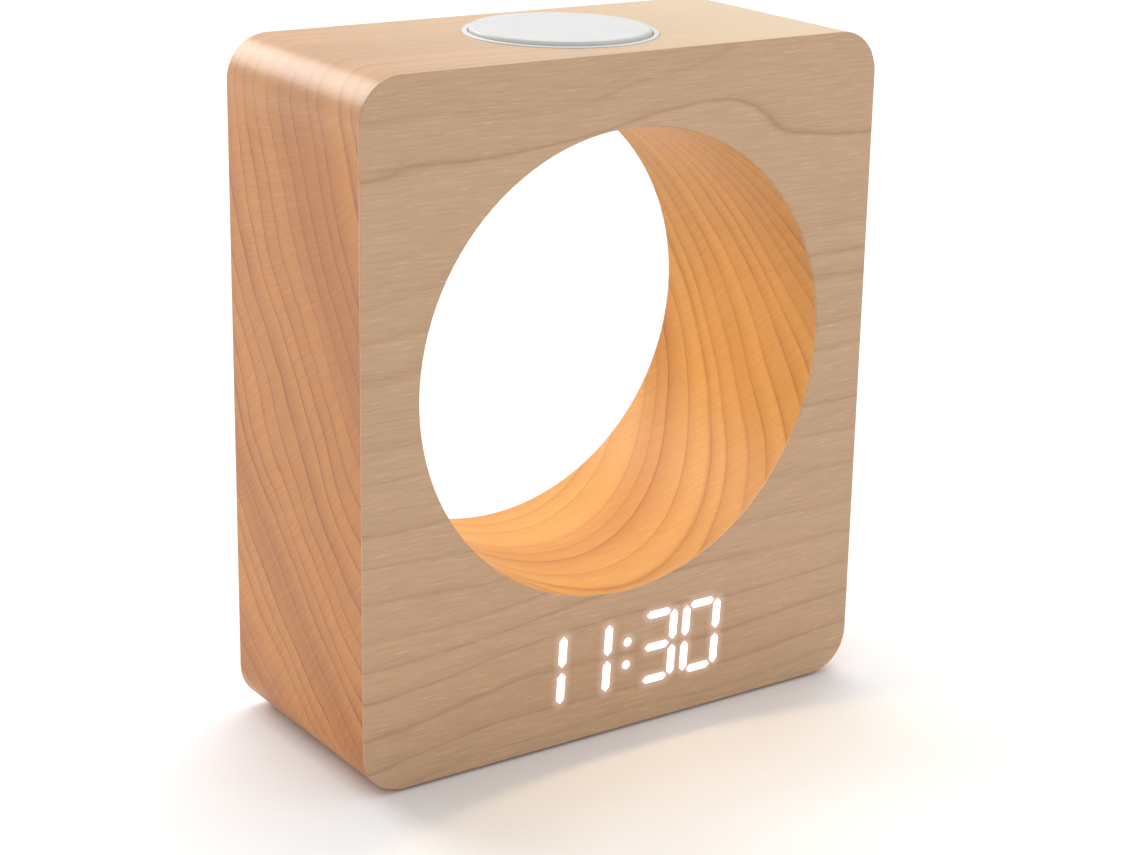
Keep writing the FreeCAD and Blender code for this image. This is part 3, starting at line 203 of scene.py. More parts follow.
def veneer(name, pale, ringed, spacing, cut, painted_top_light=None, lit=None):
    """Maple veneer, knife cut, sanded and sprayed with satin lacquer.

    The eye reads soft late-wood lines, fine fibres and short silky flecks under a low sheen.
    The top colour is painted light: the top of the wrap is painted paler, as light from above falls on
    it, more at the right end; lit is (strokes, colour, reach).
    """
    material, node, point = new_material(name)
    ring, fibre, ray, broad, heart = log_rings(node, point, spacing, cut)
    colour = node("Mix", {0: ring, 6: pale, 7: ringed}, out=2, data_type="RGBA")
    band = node("MapRange", (broad, 0.42, 0.72, 0.0, cut["bands"]))
    band = node("Math", (band, heart), operation="MAXIMUM")
    colour = node("Mix", {0: band, 6: colour, 7: ringed}, out=2, data_type="RGBA")
    fibres = node("MapRange", (fibre, 0.32, 0.68, 1 - cut["fibre"], 1 + cut["fibre"]))
    rays = node("MapRange", (ray, 0.35, 0.68, 1 - cut["ray"], 1 + cut["ray"]))
    shade = node("Math", (fibres, rays), operation="MULTIPLY")
    colour = node("VectorMath", {0: colour, "Scale": shade}, operation="SCALE")
    flecks = node("VectorMath", (point, (1 / 14, 1.0, 1.0)), operation="MULTIPLY")
    flecks = node("TexNoise", {"Vector": flecks, "Scale": 1 / 0.4, "Detail": 1.0})
    flecks = node("MapRange", (flecks, 0.62, 0.76, 0.0, cut["fleck"]))
    colour = node("Mix", {0: flecks, 6: colour, 7: linear("#fff2df")}, out=2, data_type="RGBA")
    # Painted light: the top of the wrap is mixed toward the paler top colour, more toward the right end,
    # where light from above falls on it.
    if painted_top_light:
        along, _, height = node("SeparateXYZ", (point,), out=slice(0, 3))
        painted_top_share = node("MapRange", (height, PAINTED_TOP_FROM, PAINTED_TOP_TO, 0.0, 1.0),
                        interpolation_type="SMOOTHSTEP")
        painted_top_share = node("Math", (painted_top_share, 3.0), operation="POWER")
        share = node("MapRange", (along, FRONT_LOW.x / MM, FRONT_HIGH.x / MM, PAINTED_TOP_LEFT, PAINTED_TOP_RIGHT))
        painted_top_share = node("Math", (painted_top_share, share), operation="MULTIPLY")
        colour = node("Mix", {0: painted_top_share, 6: colour, 7: painted_top_light}, out=2, data_type="RGBA")
    if lit:
        strokes, tone, reach = lit
        glow = halo(node, point, strokes, reach)
        colour = node("Mix", {0: glow, 6: colour, 7: tone}, out=2, data_type="RGBA")
    relief = node("Math", (ring, 0.5), operation="MULTIPLY")
    relief = node("Math", (fibre, 0.5, relief), operation="MULTIPLY_ADD")
    relief = node("Math", (ray, 0.3, relief), operation="MULTIPLY_ADD")
    bump = node("Bump", {"Strength": 0.28, "Distance": 0.06 * MM, "Height": relief})
    sheen = node("MapRange", (fibre, 0.3, 0.7, 0.38, 0.50))
    return finished(material, {
        "Base Color": colour, "Roughness": sheen, "Normal": bump, "IOR": 1.5,
        "Specular IOR Level": cut["gloss"], "Coat Weight": cut["coat"], "Coat Roughness": 0.24,
    })


def halo(node, point, strokes, reach):
    """How strongly the lit segments show through the veneer round them: 1 on them, fading over reach."""
    nearest = None
    for start, end in strokes:
        along = end - start
        offset = node("VectorMath", (point, start), operation="SUBTRACT")
        offset = node("VectorMath", (offset, (1.0, 0.0, 1.0)), operation="MULTIPLY")
        if along.length > 0.01:
            part = node("VectorMath", (offset, along / along.length_squared), out="Value",
                        operation="DOT_PRODUCT")
            part = node("Clamp", (part, 0.0, 1.0))
            step = node("VectorMath", {0: along, "Scale": part}, operation="SCALE")
            offset = node("VectorMath", (offset, step), operation="SUBTRACT")
        gap = node("VectorMath", (offset,), out="Value", operation="LENGTH")
        nearest = gap if nearest is None else node("Math", (nearest, gap), operation="MINIMUM")
    edge = SEGMENT_HALF / MM
    fade = node("MapRange", (nearest, edge, edge + reach / MM, 1.0, 0.0))
    fade = node("Math", (fade, HALO_FALL), operation="POWER")
    return node("Math", (fade, HALO_TOP), operation="MULTIPLY")


def fibreboard():
    """Raw MDF, pressed and machined: a fuzzy brown felt of short fibres, with no grain direction."""
    material, node, point = new_material("raw_mdf_fibreboard")
    fluff = node("TexNoise", {"Vector": point, "Scale": 1 / 0.6, "Detail": 5.0, "Roughness": 0.7})
    clumps = node("TexNoise", {"Vector": point, "Scale": 1 / 5, "Detail": 2.0})
    tone = node("Mix", {0: 0.3, 2: fluff, 3: clumps})
    colour = node("ValToRGB", (tone,), stops=[
        (0.3, linear("#7d5f3f")), (0.5, linear("#9d7c57")), (0.7, linear("#b99a74"))])
    bump = node("Bump", {"Strength": 0.5, "Distance": 0.1 * MM, "Height": fluff})
    return finished(material, {"Base Color": colour, "Roughness": 0.88, "Normal": bump, "IOR": 1.45})


# ---------------------------------------------------------------- plastics, rubber, ceramics
def moulded(name, code, rough, texture, depth, wear="#c8c4bc", lift=0.06):
    """Injection-moulded plastic from a spark-eroded tool: an even fine grit that breaks up the gloss,
    slightly cloudy colour, and rubbed places that shine a little more."""
    material, node, point = new_material(name)
    grit = node("TexVoronoi", {"Vector": point, "Scale": 1 / texture})
    cloud = node("TexNoise", {"Vector": point, "Scale": 1 / 9, "Detail": 3.0})
    rub = node("TexNoise", {"Vector": point, "Scale": 1 / 3, "Detail": 4.0, "Roughness": 0.65})
    colour = node("Mix", {0: cloud, 6: darker(code, 0.88), 7: linear(code)}, out=2, data_type="RGBA")
    scuff = node("MapRange", (rub, 0.6, 0.8, 0.0, lift))
    colour = node("Mix", {0: scuff, 6: colour, 7: linear(wear)}, out=2, data_type="RGBA")
    polish = node("MapRange", (rub, 0.35, 0.7, rough + 0.06, rough - 0.05))
    bump = node("Bump", {"Strength": 0.35, "Distance": depth * MM, "Height": grit})
    return finished(material, {"Base Color": colour, "Roughness": polish, "Normal": bump, "IOR": 1.53})


def extruded(name, code, rough, squeeze=(1.0, 1.0, 1.0)):
    """Extruded vinyl sleeve: smooth and softly shiny, with faint draw lines along its length."""
    material, node, point = new_material(name)
    lines = node("VectorMath", (point, squeeze), operation="MULTIPLY")
    lines = node("TexNoise", {"Vector": lines, "Scale": 1 / 0.25, "Detail": 2.0})
    cloud = node("TexNoise", {"Vector": point, "Scale": 1 / 4, "Detail": 2.0})
    colour = node("Mix", {0: cloud, 6: darker(code, 0.82), 7: linear(code)}, out=2, data_type="RGBA")
    gloss = node("MapRange", (cloud, 0.3, 0.7, rough - 0.05, rough + 0.08))
    bump = node("Bump", {"Strength": 0.2, "Distance": 0.03 * MM, "Height": lines})
    return finished(material, {"Base Color": colour, "Roughness": gloss, "Normal": bump, "IOR": 1.53})


def rubber():
    """Moulded nitrile rubber foot: matt charcoal with a dusty bloom and fine pores."""
    material, node, point = new_material("moulded_nitrile_rubber")
    pores = node("TexNoise", {"Vector": point, "Scale": 1 / 0.35, "Detail": 4.0, "Roughness": 0.7})
    bloom = node("TexNoise", {"Vector": point, "Scale": 1 / 4, "Detail": 3.0})
    colour = node("ValToRGB", (bloom,), stops=[
        (0.3, linear("#1b1b1c")), (0.6, linear("#262627")), (0.8, linear("#3a3937"))])
    bump = node("Bump", {"Strength": 0.4, "Distance": 0.05 * MM, "Height": pores})
    return finished(material, {"Base Color": colour, "Roughness": 0.82, "Normal": bump, "IOR": 1.52})


def fired(name, code, grit, rough):
    """Pressed and fired ceramic or ferrite: dull, sandy, with darker pits between the grains."""
    material, node, point = new_material(name)
    sand = node("TexVoronoi", {"Vector": point, "Scale": 1 / grit})
    patch = node("TexNoise", {"Vector": point, "Scale": 1 / 2.5, "Detail": 3.0})
    colour = node("Mix", {0: patch, 6: darker(code, 0.7), 7: linear(code)}, out=2, data_type="RGBA")
    gloss = node("MapRange", (sand, 0.0, 0.7, rough - 0.08, rough + 0.08))
    bump = node("Bump", {"Strength": 0.5, "Distance": 0.04 * MM, "Height": sand})
    return finished(material, {"Base Color": colour, "Roughness": gloss, "Normal": bump, "IOR": 1.75})


def milky(name, code, glow=(0.0, 0.0, 0.0, 1.0), strength=0.0, rough=0.3):
    """Milky cast or extruded diffuser: light spreads inside it, so it looks soft and even,
    with faint flow marks and a satin skin."""
    material, node, point = new_material(name)
    flow = node("VectorMath", (point, (1 / 3, 1.0, 1.0)), operation="MULTIPLY")
    flow = node("TexNoise", {"Vector": flow, "Scale": 1 / 2, "Detail": 3.0})
    skin = node("TexNoise", {"Vector": point, "Scale": 1 / 0.3, "Detail": 2.0})
    colour = node("Mix", {0: flow, 6: darker(code, 0.93), 7: linear(code)}, out=2, data_type="RGBA")
    gloss = node("MapRange", (flow, 0.3, 0.7, rough, rough + 0.1))
    bump = node("Bump", {"Strength": 0.15, "Distance": 0.03 * MM, "Height": skin})
    return finished(material, {
        "Base Color": colour, "Roughness": gloss, "Normal": bump, "IOR": 1.5,
        "Emission Color": glow, "Emission Strength": strength,
    })


# ---------------------------------------------------------------- metals
def plated(name, code, rough, scratch=0.4, tarnish="#8d8a80"):
    """Plated or stamped metal: bright, with tool lines, fine scratches and slight dull spots."""
    material, node, point = new_material(name)
    lines = node("TexNoise", {"Vector": point, "Scale": 1 / scratch, "Detail": 4.0, "Roughness": 0.65})
    spots = node("TexNoise", {"Vector": point, "Scale": 1 / 2.2, "Detail": 4.0, "Roughness": 0.6})
    dull = node("MapRange", (spots, 0.5, 0.75, 0.0, 0.35))
    colour = node("Mix", {0: dull, 6: linear(code), 7: linear(tarnish)}, out=2, data_type="RGBA")
    gloss = node("MapRange", (lines, 0.3, 0.7, rough - 0.08, rough + 0.14))
    bump = node("Bump", {"Strength": 0.25, "Distance": 0.02 * MM, "Height": lines})
    return finished(material, {
        "Base Color": colour, "Roughness": gloss, "Normal": bump, "Metallic": 1.0})


def wound_copper():
    """Enamelled litz copper: warm metal seen through amber varnish, striped by its fine strands."""
    material, node, point = new_material("enamelled_litz_copper")
    strands = node("TexWave", {"Vector": point, "Scale": 0.9, "Distortion": 1.5, "Detail": 2.0}, out=1,
                   wave_type="RINGS", rings_direction="Z")
    spots = node("TexNoise", {"Vector": point, "Scale": 1.0, "Detail": 3.0})
    colour = node("Mix", {0: spots, 6: linear("#a8571f"), 7: linear("#d98a4b")}, out=2, data_type="RGBA")
    bump = node("Bump", {"Strength": 0.5, "Distance": 0.08 * MM, "Height": strands})
    return finished(material, {
        "Base Color": colour, "Roughness": 0.32, "Normal": bump, "Metallic": 1.0,
        "Coat Weight": 0.6, "Coat Roughness": 0.12,
    })


def laminate(name, mask, track):
    """Glass-epoxy board under solder resist: the weave shows as a fine square grid, and the copper
    tracks as paler, slightly raised lines."""
    material, node, point = new_material(name)
    weave = node("TexBrick", {
        "Vector": point, "Scale": 1.0, "Mortar Size": 0.06, "Brick Width": 0.8, "Row Height": 0.8,
        "Color1": grey(0.62), "Color2": grey(0.5), "Mortar": grey(0.35)}, offset=0.0)
    tracks = node("TexVoronoi", {"Vector": point, "Scale": 0.28, "Randomness": 0.55},
                  distance="MANHATTAN")
    lines = node("Math", (tracks, 3.0), operation="MULTIPLY")
    lines = node("Math", (lines, 0.5), operation="PINGPONG")
    lines = node("MapRange", (lines, 0.36, 0.42, 0.0, 1.0))
    colour = node("Mix", {0: weave, 6: linear(mask), 7: darker(mask, 0.7)}, out=2, data_type="RGBA")
    colour = node("Mix", {0: lines, 6: colour, 7: linear(track)}, out=2, data_type="RGBA")
    bump = node("Bump", {"Strength": 0.4, "Distance": 0.04 * MM, "Height": lines})
    gloss = node("MapRange", (lines, 0.0, 1.0, 0.34, 0.24))
    return finished(material, {"Base Color": colour, "Roughness": gloss, "Normal": bump, "IOR": 1.55})


# ---------------------------------------------------------------- putting finishes on
def cover(material, *names):
    """Puts one finish on the whole of each named sub-part."""
    for name in names:
        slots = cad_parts[name].data.materials
        slots.clear()
        slots.append(material)


def settings(context):
    """The clock's settings in the scene at hand."""
    return context.scene.window_clock


def colour_setting(name, description, code):
    """A colour that the panel shows, with its sRGB hex default."""
    return bpy.props.FloatVectorProperty(
        name=name, description=description, subtype="COLOR", size=4, min=0.0, max=1.0,
        default=linear(code))


class ClockSettings(bpy.types.PropertyGroup):
    hours: bpy.props.IntProperty(
        name="Hours", description="Hours that the display shows", default=11, min=0, max=23)
    minutes: bpy.props.IntProperty(
        name="Minutes", description="Minutes that the display shows", default=30, min=0, max=59)
    digit_colour: colour_setting("Digit colour", "Colour of the lit segments", "#fff6f4")
    digit_strength: bpy.props.FloatProperty(
        name="Digit brightness", description="Brightness of the lit segments", default=1.15, min=0.0)
    halo_colour: colour_setting("Halo colour", "Glow in the veneer round the segments", "#f3cdbf")
    halo_reach: bpy.props.FloatProperty(
        name="Halo reach", description="How far the glow spreads in the veneer", default=2.3 * MM,
        min=0.1 * MM, unit="LENGTH")
    front_pale: colour_setting("Front wood", "Early wood of the front and back veneers", "#c09c7a")
    front_ringed: colour_setting("Front rings", "Late wood of the front and back veneers", "#936a48")
    side_pale: colour_setting("Side wood", "Early wood of the wrap", "#c6813b")
    side_ringed: colour_setting("Side rings", "Late wood of the wrap", "#91491a")
    lining_pale: colour_setting("Lining wood", "Early wood of the window's lining", "#cb9953")
    lining_ringed: colour_setting("Lining rings", "Late wood of the window's lining", "#97571f")
    # Painted light: this paler colour stands in for the light that falls on the top face.
    painted_top_colour: colour_setting("Top wood", "Painted light on the top face", "#dcc5a0")
    ring_spacing: bpy.props.FloatProperty(
        name="Ring spacing", description="Width of one year's growth", default=7.2 * MM,
        min=1.0 * MM, unit="LENGTH")
    lamp_colour: colour_setting("Lamp colour", "Colour of the lamp in the window's roof", "#ffdba2")
    lamp_strength: bpy.props.FloatProperty(
        name="Lamp brightness", description="Brightness of the lamp's lens", default=6.0, min=0.0)
    lamp_power: bpy.props.FloatProperty(
        name="Lamp power", description="Light that the lamp throws down the window", default=0.030,
        min=0.0, unit="POWER")
    pad_colour: colour_setting("Pad colour", "Colour of the charging pad", "#d4d4d3")
    floor_half: bpy.props.FloatProperty(
        name="Floor half width", description="Half the side of the studio floor", default=6.0,
        min=1.0, unit="LENGTH")


# ---------------------------------------------------------------- case
class CLOCK_OT_case(bpy.types.Operator):
    """Veneers the case: wrap, window lining, back face, core and lath"""
    bl_idname = "clock.case"
    bl_label = "Case veneers"

    def execute(self, context):
        s = settings(context)
        spacing = s.ring_spacing / MM
        front = tuple(s.front_pale), tuple(s.front_ringed)
        side = tuple(s.side_pale), tuple(s.side_ringed)
        inner = tuple(s.lining_pale), tuple(s.lining_ringed)
        wrap = veneer("maple_veneer_wrap_lacquered", *side, spacing * WRAP_RINGS, RIFT_CUT,
                      painted_top_light=tuple(s.painted_top_colour))
        lining = veneer("maple_veneer_lining_lacquered", *inner, spacing * LINING_RINGS, LINING_CUT)
        rear = veneer("maple_veneer_back_lacquered", *front, spacing, FLAT_CUT)
        lath = veneer("maple_lath_sawn", *front, spacing * LATH_RINGS, FLAT_CUT)
        cover(wrap, "side_wrap")
        cover(lining, "bore_lining")
        cover(rear, "rear_veneer")
        cover(lath, "channel_lath")
        cover(fibreboard(), "body_core")
        return {"FINISHED"}


class CLOCK_OT_feet(bpy.types.Operator):
    """Puts rubber on the four feet"""
    bl_idname = "clock.feet"
    bl_label = "Feet"

    def execute(self, context):
        cover(rubber(), "rubber_feet")
        return {"FINISHED"}


# ---------------------------------------------------------------- front veneer and time display
def split_segments(name):
    """The light guides of one digit: a bmesh for each, keyed by its usual letter."""
    whole = bmesh.new()
    whole.from_mesh(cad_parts[name].data)
    bmesh.ops.remove_doubles(whole, verts=whole.verts, dist=SAME_POINT)
    low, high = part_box(name)
    centre = (low + high) / 2
    size = high - low
    waiting = set(whole.verts)
    found = {}
    while waiting:
        island, edge = set(), [min(waiting, key=lambda v: v.index)]
        while edge:
            vertex = edge.pop()
            if vertex in island:
                continue
            island.add(vertex)
            edge += [e.other_vert(vertex) for e in vertex.link_edges]
        waiting -= island
        island = sorted(island, key=lambda v: v.index)
        middle = sum((v.co for v in island), Vector()) / len(island) - centre
        if abs(middle.x) < size.x / 4:
            letter = "a" if middle.z > size.z / 4 else "d" if middle.z < -size.z / 4 else "g"
        elif middle.x > 0:
            letter = "b" if middle.z > 0 else "c"
        else:
            letter = "f" if middle.z > 0 else "e"
        if name == "colon_segments":
            letter = "upper" if middle.z > 0 else "lower"
        found[letter] = keep_island(whole, island)
    whole.free()
    return found


def keep_island(whole, island):
    """A copy of one connected piece of a mesh."""
    piece = bmesh.new()
    twin = {v: piece.verts.new(v.co) for v in island}
    for face in whole.faces:
        if face.verts[0] in twin:
            piece.faces.new([twin[v] for v in face.verts])
    piece.normal_update()
    return piece


def squeeze_depth(piece, y_front, y_back):
    """Gives a prism along Y a new front and back."""
    ys = [v.co.y for v in piece.verts]
    low, high = min(ys), max(ys)
    for v in piece.verts:
        v.co.y = y_front + (v.co.y - low) / (high - low) * (y_back - y_front)


def stroke_of(piece):
    """The line down the middle of a segment, in millimetres, its ends half a width in from its tips."""
    points = [v.co / MM for v in piece.verts]
    width = SEGMENT_HALF / MM
    first, last = max(
        ((a, b) for a in points for b in points), key=lambda pair: (pair[0].xz - pair[1].xz).length)
    middle = sum(points, Vector()) / len(points)
    half = (last - first) / 2
    half.y = 0.0
    if half.length < 1.5 * width:  # a round dot has no length
        return middle, middle
    step = half * (1 - width / half.length)
    return middle - step, middle + step


def mesh_object(name, piece):
    """An object in the scene with a bmesh's faces."""
    mesh = bpy.data.meshes.new(name)
    piece.to_mesh(mesh)
    made = bpy.data.objects.new(name, mesh)
    bpy.context.scene.collection.objects.link(made)
    return made


def lit_letters(s):
    """The segments that show the time, by CAD node."""
    digits = (s.hours // 10, s.hours % 10, s.minutes // 10, s.minutes % 10)
    lit = {node: SEGMENTS_OF[digit] for node, digit in zip(DIGIT_NODES, digits)}
    lit["colon_segments"] = ("upper", "lower")
    return lit


def joined(pieces):
    """One bmesh that holds every piece."""
    whole = bmesh.new()
    for piece in pieces:
        step = bpy.data.meshes.new("step")
        piece.to_mesh(step)
        whole.from_mesh(step)
        bpy.data.meshes.remove(step)
    return whole


class CLOCK_OT_display(bpy.types.Operator):
    """Shows the time through the front veneer: the lit segments and the veneer that glows round them"""
    bl_idname = "clock.display"
    bl_label = "Front veneer and lit time"

    def execute(self, context):
        s = settings(context)
        glow = milky("milky_resin_lit", "#fffaf7", tuple(s.digit_colour), s.digit_strength)
        strokes, cutters = [], []
        for node, letters in lit_letters(s).items():
            parts = split_segments(node)
            chosen = [parts[letter] for letter in letters]
            strokes += [stroke_of(piece) for piece in chosen]
            for piece in chosen:
                squeeze_depth(piece, FRONT_LOW.y - CUT_SPARE, FRONT_HIGH.y + CUT_SPARE)
            cutters += [piece.copy() for piece in chosen]
            for piece in chosen:
                squeeze_depth(piece, FRONT_LOW.y, FRONT_HIGH.y)
            lit = mesh_object("lit_" + node, joined(chosen))
            lit.data.materials.append(glow)
            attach(lit, "case")

        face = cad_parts["front_veneer"].copy()
        face.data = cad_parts["front_veneer"].data.copy()
        for key in list(face.keys()):
            del face[key]
        face.name = "front_face_veneer"
        face.parent = None
        context.scene.collection.objects.link(face)
        shell = bmesh.new()
        shell.from_mesh(face.data)
        bmesh.ops.remove_doubles(shell, verts=shell.verts, dist=SAME_POINT)
        depth = FRONT_HIGH.y - FRONT_LOW.y
        for v in shell.verts:
            v.co.y += SEGMENT_STAND * (FRONT_HIGH.y - v.co.y) / depth
        shell.to_mesh(face.data)
        cutter = mesh_object("segment_cutter", joined(cutters))
        cut = face.modifiers.new("segments", "BOOLEAN")
        cut.operation, cut.object, cut.solver = "DIFFERENCE", cutter, "EXACT"
        context.view_layer.update()
        shown = face.evaluated_get(context.evaluated_depsgraph_get())
        cut_mesh = bpy.data.meshes.new_from_object(shown)
        face.modifiers.clear()
        face.data = cut_mesh
        bpy.data.objects.remove(cutter)
        front = veneer("maple_veneer_front_lacquered", tuple(s.front_pale), tuple(s.front_ringed),
                       s.ring_spacing / MM, FLAT_CUT,
                       lit=(strokes, tuple(s.halo_colour), s.halo_reach))
        face.data.materials.clear()
        face.data.materials.append(front)
        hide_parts("front_veneer")
        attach(face, "case")
        return {"FINISHED"}


class CLOCK_OT_display_inside(bpy.types.Operator):
    """Finishes the display behind the veneer: housing, light guides, board and lights"""
    bl_idname = "clock.display_inside"
    bl_label = "Display inside"

    def execute(self, context):
        cover(moulded("moulded_abs_display_housing", "#dad9d6", 0.5, 0.35, 0.02), "display_housing")
        cover(milky("milky_resin_unlit", "#efeee6"), *DIGIT_NODES, "colon_segments")
        cover(laminate("glass_epoxy_display_board", "#0f5a31", "#2c7a4a"), "display_board")
        cover(milky("moulded_led_package", "#f3edcf", rough=0.25), "display_leds")
        cover(fired("moulded_epoxy_driver_chip", "#202021", 0.12, 0.55), "display_driver_chip")
        cover(plated("zinc_plated_display_screws", "#c2c4c2", 0.34), "display_screws")
        return {"FINISHED"}


# ---------------------------------------------------------------- lamp
LAMP_LONG, LAMP_WIDE = 0.94, 0.9  # the glowing field, as shares of the lens
LAMP_SPREAD = 126.0          # degrees
LAMP_DROP = 0.5 * MM         # the field lies this far under the lens


class CLOCK_OT_lamp(bpy.types.Operator):
    """Lights the lamp in the roof of the window"""
    bl_idname = "clock.lamp"
    bl_label = "Lamp"

    def execute(self, context):
        s = settings(context)
        lens = milky("opal_acrylic_lens_lit", "#fff1d8", tuple(s.lamp_colour), s.lamp_strength)
        cover(lens, "lamp_lens")
        cover(moulded("moulded_abs_lamp_tray", "#ecebe7", 0.35, 0.3, 0.015), "lamp_tray")
        cover(laminate("white_flexible_strip_board", "#e9e8e2", "#d9d2b6"), "lamp_strip")
        cover(milky("phosphor_led_package", "#ffcf6a", rough=0.3), "lamp_leds")
        light = bpy.data.lights.new("lamp_glow", "AREA")
        light.shape = "RECTANGLE"
        light.size = (LENS_HIGH.x - LENS_LOW.x) * LAMP_LONG
        light.size_y = (LENS_HIGH.y - LENS_LOW.y) * LAMP_WIDE
        light.energy = s.lamp_power
        light.spread = math.radians(LAMP_SPREAD)
        light.color = tuple(s.lamp_colour)[:3]
        lamp = bpy.data.objects.new("lamp_glow", light)
        lamp.location = (0.0, 0.0, LENS_LOW.z - LAMP_DROP)
        context.scene.collection.objects.link(lamp)
        return {"FINISHED"}


# ---------------------------------------------------------------- charger
class CLOCK_OT_charger(bpy.types.Operator):
    """Finishes the wireless charger: pad, cup, coil, ferrite and board"""
    bl_idname = "clock.charger"
    bl_label = "Charging pad"

    def execute(self, context):
        s = settings(context)
        pad = moulded("moulded_polycarbonate_pad_matt", s.pad_colour, 0.46, 0.22, 0.012, wear="#ffffff")
        cover(pad, "charger_pad")
        rim = moulded("moulded_polycarbonate_rim", "#dededd", 0.36, 0.3, 0.01, wear="#ffffff")
        cover(rim, "charger_cup")
        cover(wound_copper(), "charger_coil")
        cover(fired("sintered_ferrite_disc", "#3a3a3d", 0.2, 0.6), "ferrite_disc")
        cover(laminate("glass_epoxy_charger_board", "#12402c", "#2a6a48"), "charger_board")
        cover(fired("moulded_epoxy_charger_parts", "#232324", 0.15, 0.5), "charger_board_parts")
        cover(plated("zinc_plated_charger_screws", "#c2c4c2", 0.34), "charger_screws")
        return {"FINISHED"}


# ---------------------------------------------------------------- back cover, keys, socket, drawer
class CLOCK_OT_back(bpy.types.Operator):
    """Finishes what shows at the back: cover, screws, socket and drawer"""
    bl_idname = "clock.back"
    bl_label = "Back cover"

    def execute(self, context):
        cover(moulded("moulded_abs_cover_spark_textured", "#2b2b2c", 0.52, 0.32, 0.03), "rear_cover")
        screws = plated("black_oxide_steel_screws", "#2a2a2c", 0.42, tarnish="#55524c")
        cover(screws, "rear_cover_screws")
        cover(plated("nickel_plated_socket_shell", "#cfcfcb", 0.26, 0.3), "socket_shell")
        cover(moulded("moulded_nylon_socket_tongue", "#1b1b1c", 0.5, 0.2, 0.01), "socket_insulator")
        cover(plated("gold_plated_contacts", "#e2b75a", 0.24, 0.2, tarnish="#9f7a32"), "socket_contacts")
        cover(moulded("moulded_abs_drawer", "#2f2f30", 0.48, 0.3, 0.025), "cell_tray")
        cover(moulded("moulded_abs_drawer_bay", "#29292a", 0.5, 0.3, 0.02), "cell_bay")
        cover(plated("stamped_stainless_cell", "#c9c9c4", 0.28, 0.25), "coin_cell")
        cover(plated("nickel_plated_spring_contacts", "#c6c2b4", 0.3, 0.25), "cell_contacts")
        return {"FINISHED"}


class CLOCK_OT_keys(bpy.types.Operator):
    """Finishes the four keys and the switch plungers under them"""
    bl_idname = "clock.keys"
    bl_label = "Keys"

    def execute(self, context):
        cap = moulded("moulded_abs_key_satin", "#3a3a3b", 0.36, 0.25, 0.012, lift=0.12)
        plunger = moulded("moulded_acetal_plunger", "#1d1d1e", 0.3, 0.25, 0.008)
        for name in ("light", "up", "down", "set"):
            cover(cap, name + "_key")
            cover(plunger, name + "_switch_plunger")
        return {"FINISHED"}


# ---------------------------------------------------------------- electronics and leads
class CLOCK_OT_electronics(bpy.types.Operator):
    """Finishes the main board, its parts and the sounder"""
    bl_idname = "clock.electronics"
    bl_label = "Electronics"

    def execute(self, context):
        cover(laminate("glass_epoxy_main_board", "#0f5a31", "#2c7a4a"), "main_board")
        cover(plated("zinc_plated_board_screws", "#c2c4c2", 0.34), "main_board_screws")
        cover(moulded("moulded_nylon_switch_body", "#303031", 0.45, 0.25, 0.01), "switch_bodies")
        cover(moulded("moulded_abs_sounder", "#1a1a1c", 0.4, 0.25, 0.01), "sounder")
        cover(fired("moulded_epoxy_controller", "#202021", 0.12, 0.55), "controller_chip")
        cover(plated("drawn_nickel_crystal_can", "#c9c9c6", 0.24, 0.3), "clock_crystal")
        cover(extruded("shrunk_vinyl_capacitor_sleeve", "#1d2447", 0.3), "capacitors")
        cover(fired("pressed_ferrite_choke", "#3b3b3e", 0.18, 0.6), "choke")
        cover(fired("fired_alumina_resistors", "#2d2b29", 0.1, 0.45), "chip_resistors")
        headers = moulded("moulded_nylon_headers", "#e6e2d0", 0.4, 0.25, 0.01)
        cover(headers, "wire_headers", "ribbon_headers")
        return {"FINISHED"}


class CLOCK_OT_leads(bpy.types.Operator):
    """Finishes the leads inside the case"""
    bl_idname = "clock.leads"
    bl_label = "Leads"

    def execute(self, context):
        ribbon = extruded("extruded_vinyl_ribbon_grey", "#a3a5ab", 0.4, (1.0, 0.125, 0.125))
        cover(ribbon, "display_ribbon")
        for dye, code, name in (
                ("red", "#a5231d", "charger_leads"), ("white", "#e2e2de", "lamp_leads"),
                ("black", "#1c1c1d", "cell_leads")):
            cover(extruded("extruded_vinyl_" + dye, code, 0.34, (0.25, 0.25, 1.0)), name)
        return {"FINISHED"}


# ---------------------------------------------------------------- stage
CAMERA_PLACE = (-0.33878, -0.50271, 0.27468)
CAMERA_TURN = 36.047         # degrees to the right of straight at the front
CAMERA_DIP = 17.145          # degrees below level
CAMERA_ROLL = 1.549          # degrees
CAMERA_LENS, CAMERA_FILM = 77.84, 36.0  # focal length and film width in millimetres
CAMERA_SHIFT = (-0.0614, -0.0461)
SKY_LIGHT = 0.72             # what the white room gives to the object
SKY_SEEN = 1.0               # what the eye sees of it, so that the floor has no far edge
CEILING_LIGHT, CEILING_SPREAD = 1.35, 52.0  # a broad soft light, its spread in degrees
CEILING_WAY = (-0.34, -0.42, -0.84)  # the way its light travels
SOFTBOXES = (                # name, place, what it points at, width, height, watts
    ("back_strip", (-0.35, 1.25, 0.75), (0.0, 0.0, 0.1), 0.8, 0.6, 10.0),
    ("front_soft", (0.65, -1.1, 0.35), (0.0, 0.0, 0.05), 0.9, 0.7, 1.4),
)


def camera_axes():
    """The camera's right, up and back directions."""
    turn, dip, roll = (math.radians(a) for a in (CAMERA_TURN, CAMERA_DIP, CAMERA_ROLL))
    ahead = Vector((math.sin(turn) * math.cos(dip), math.cos(turn) * math.cos(dip), -math.sin(dip)))
    right = Vector((math.cos(turn), -math.sin(turn), 0.0))
    up = right.cross(ahead)
    rolled_right = right * math.cos(roll) + up * math.sin(roll)
    rolled_up = up * math.cos(roll) - right * math.sin(roll)
    return rolled_right, rolled_up, -ahead


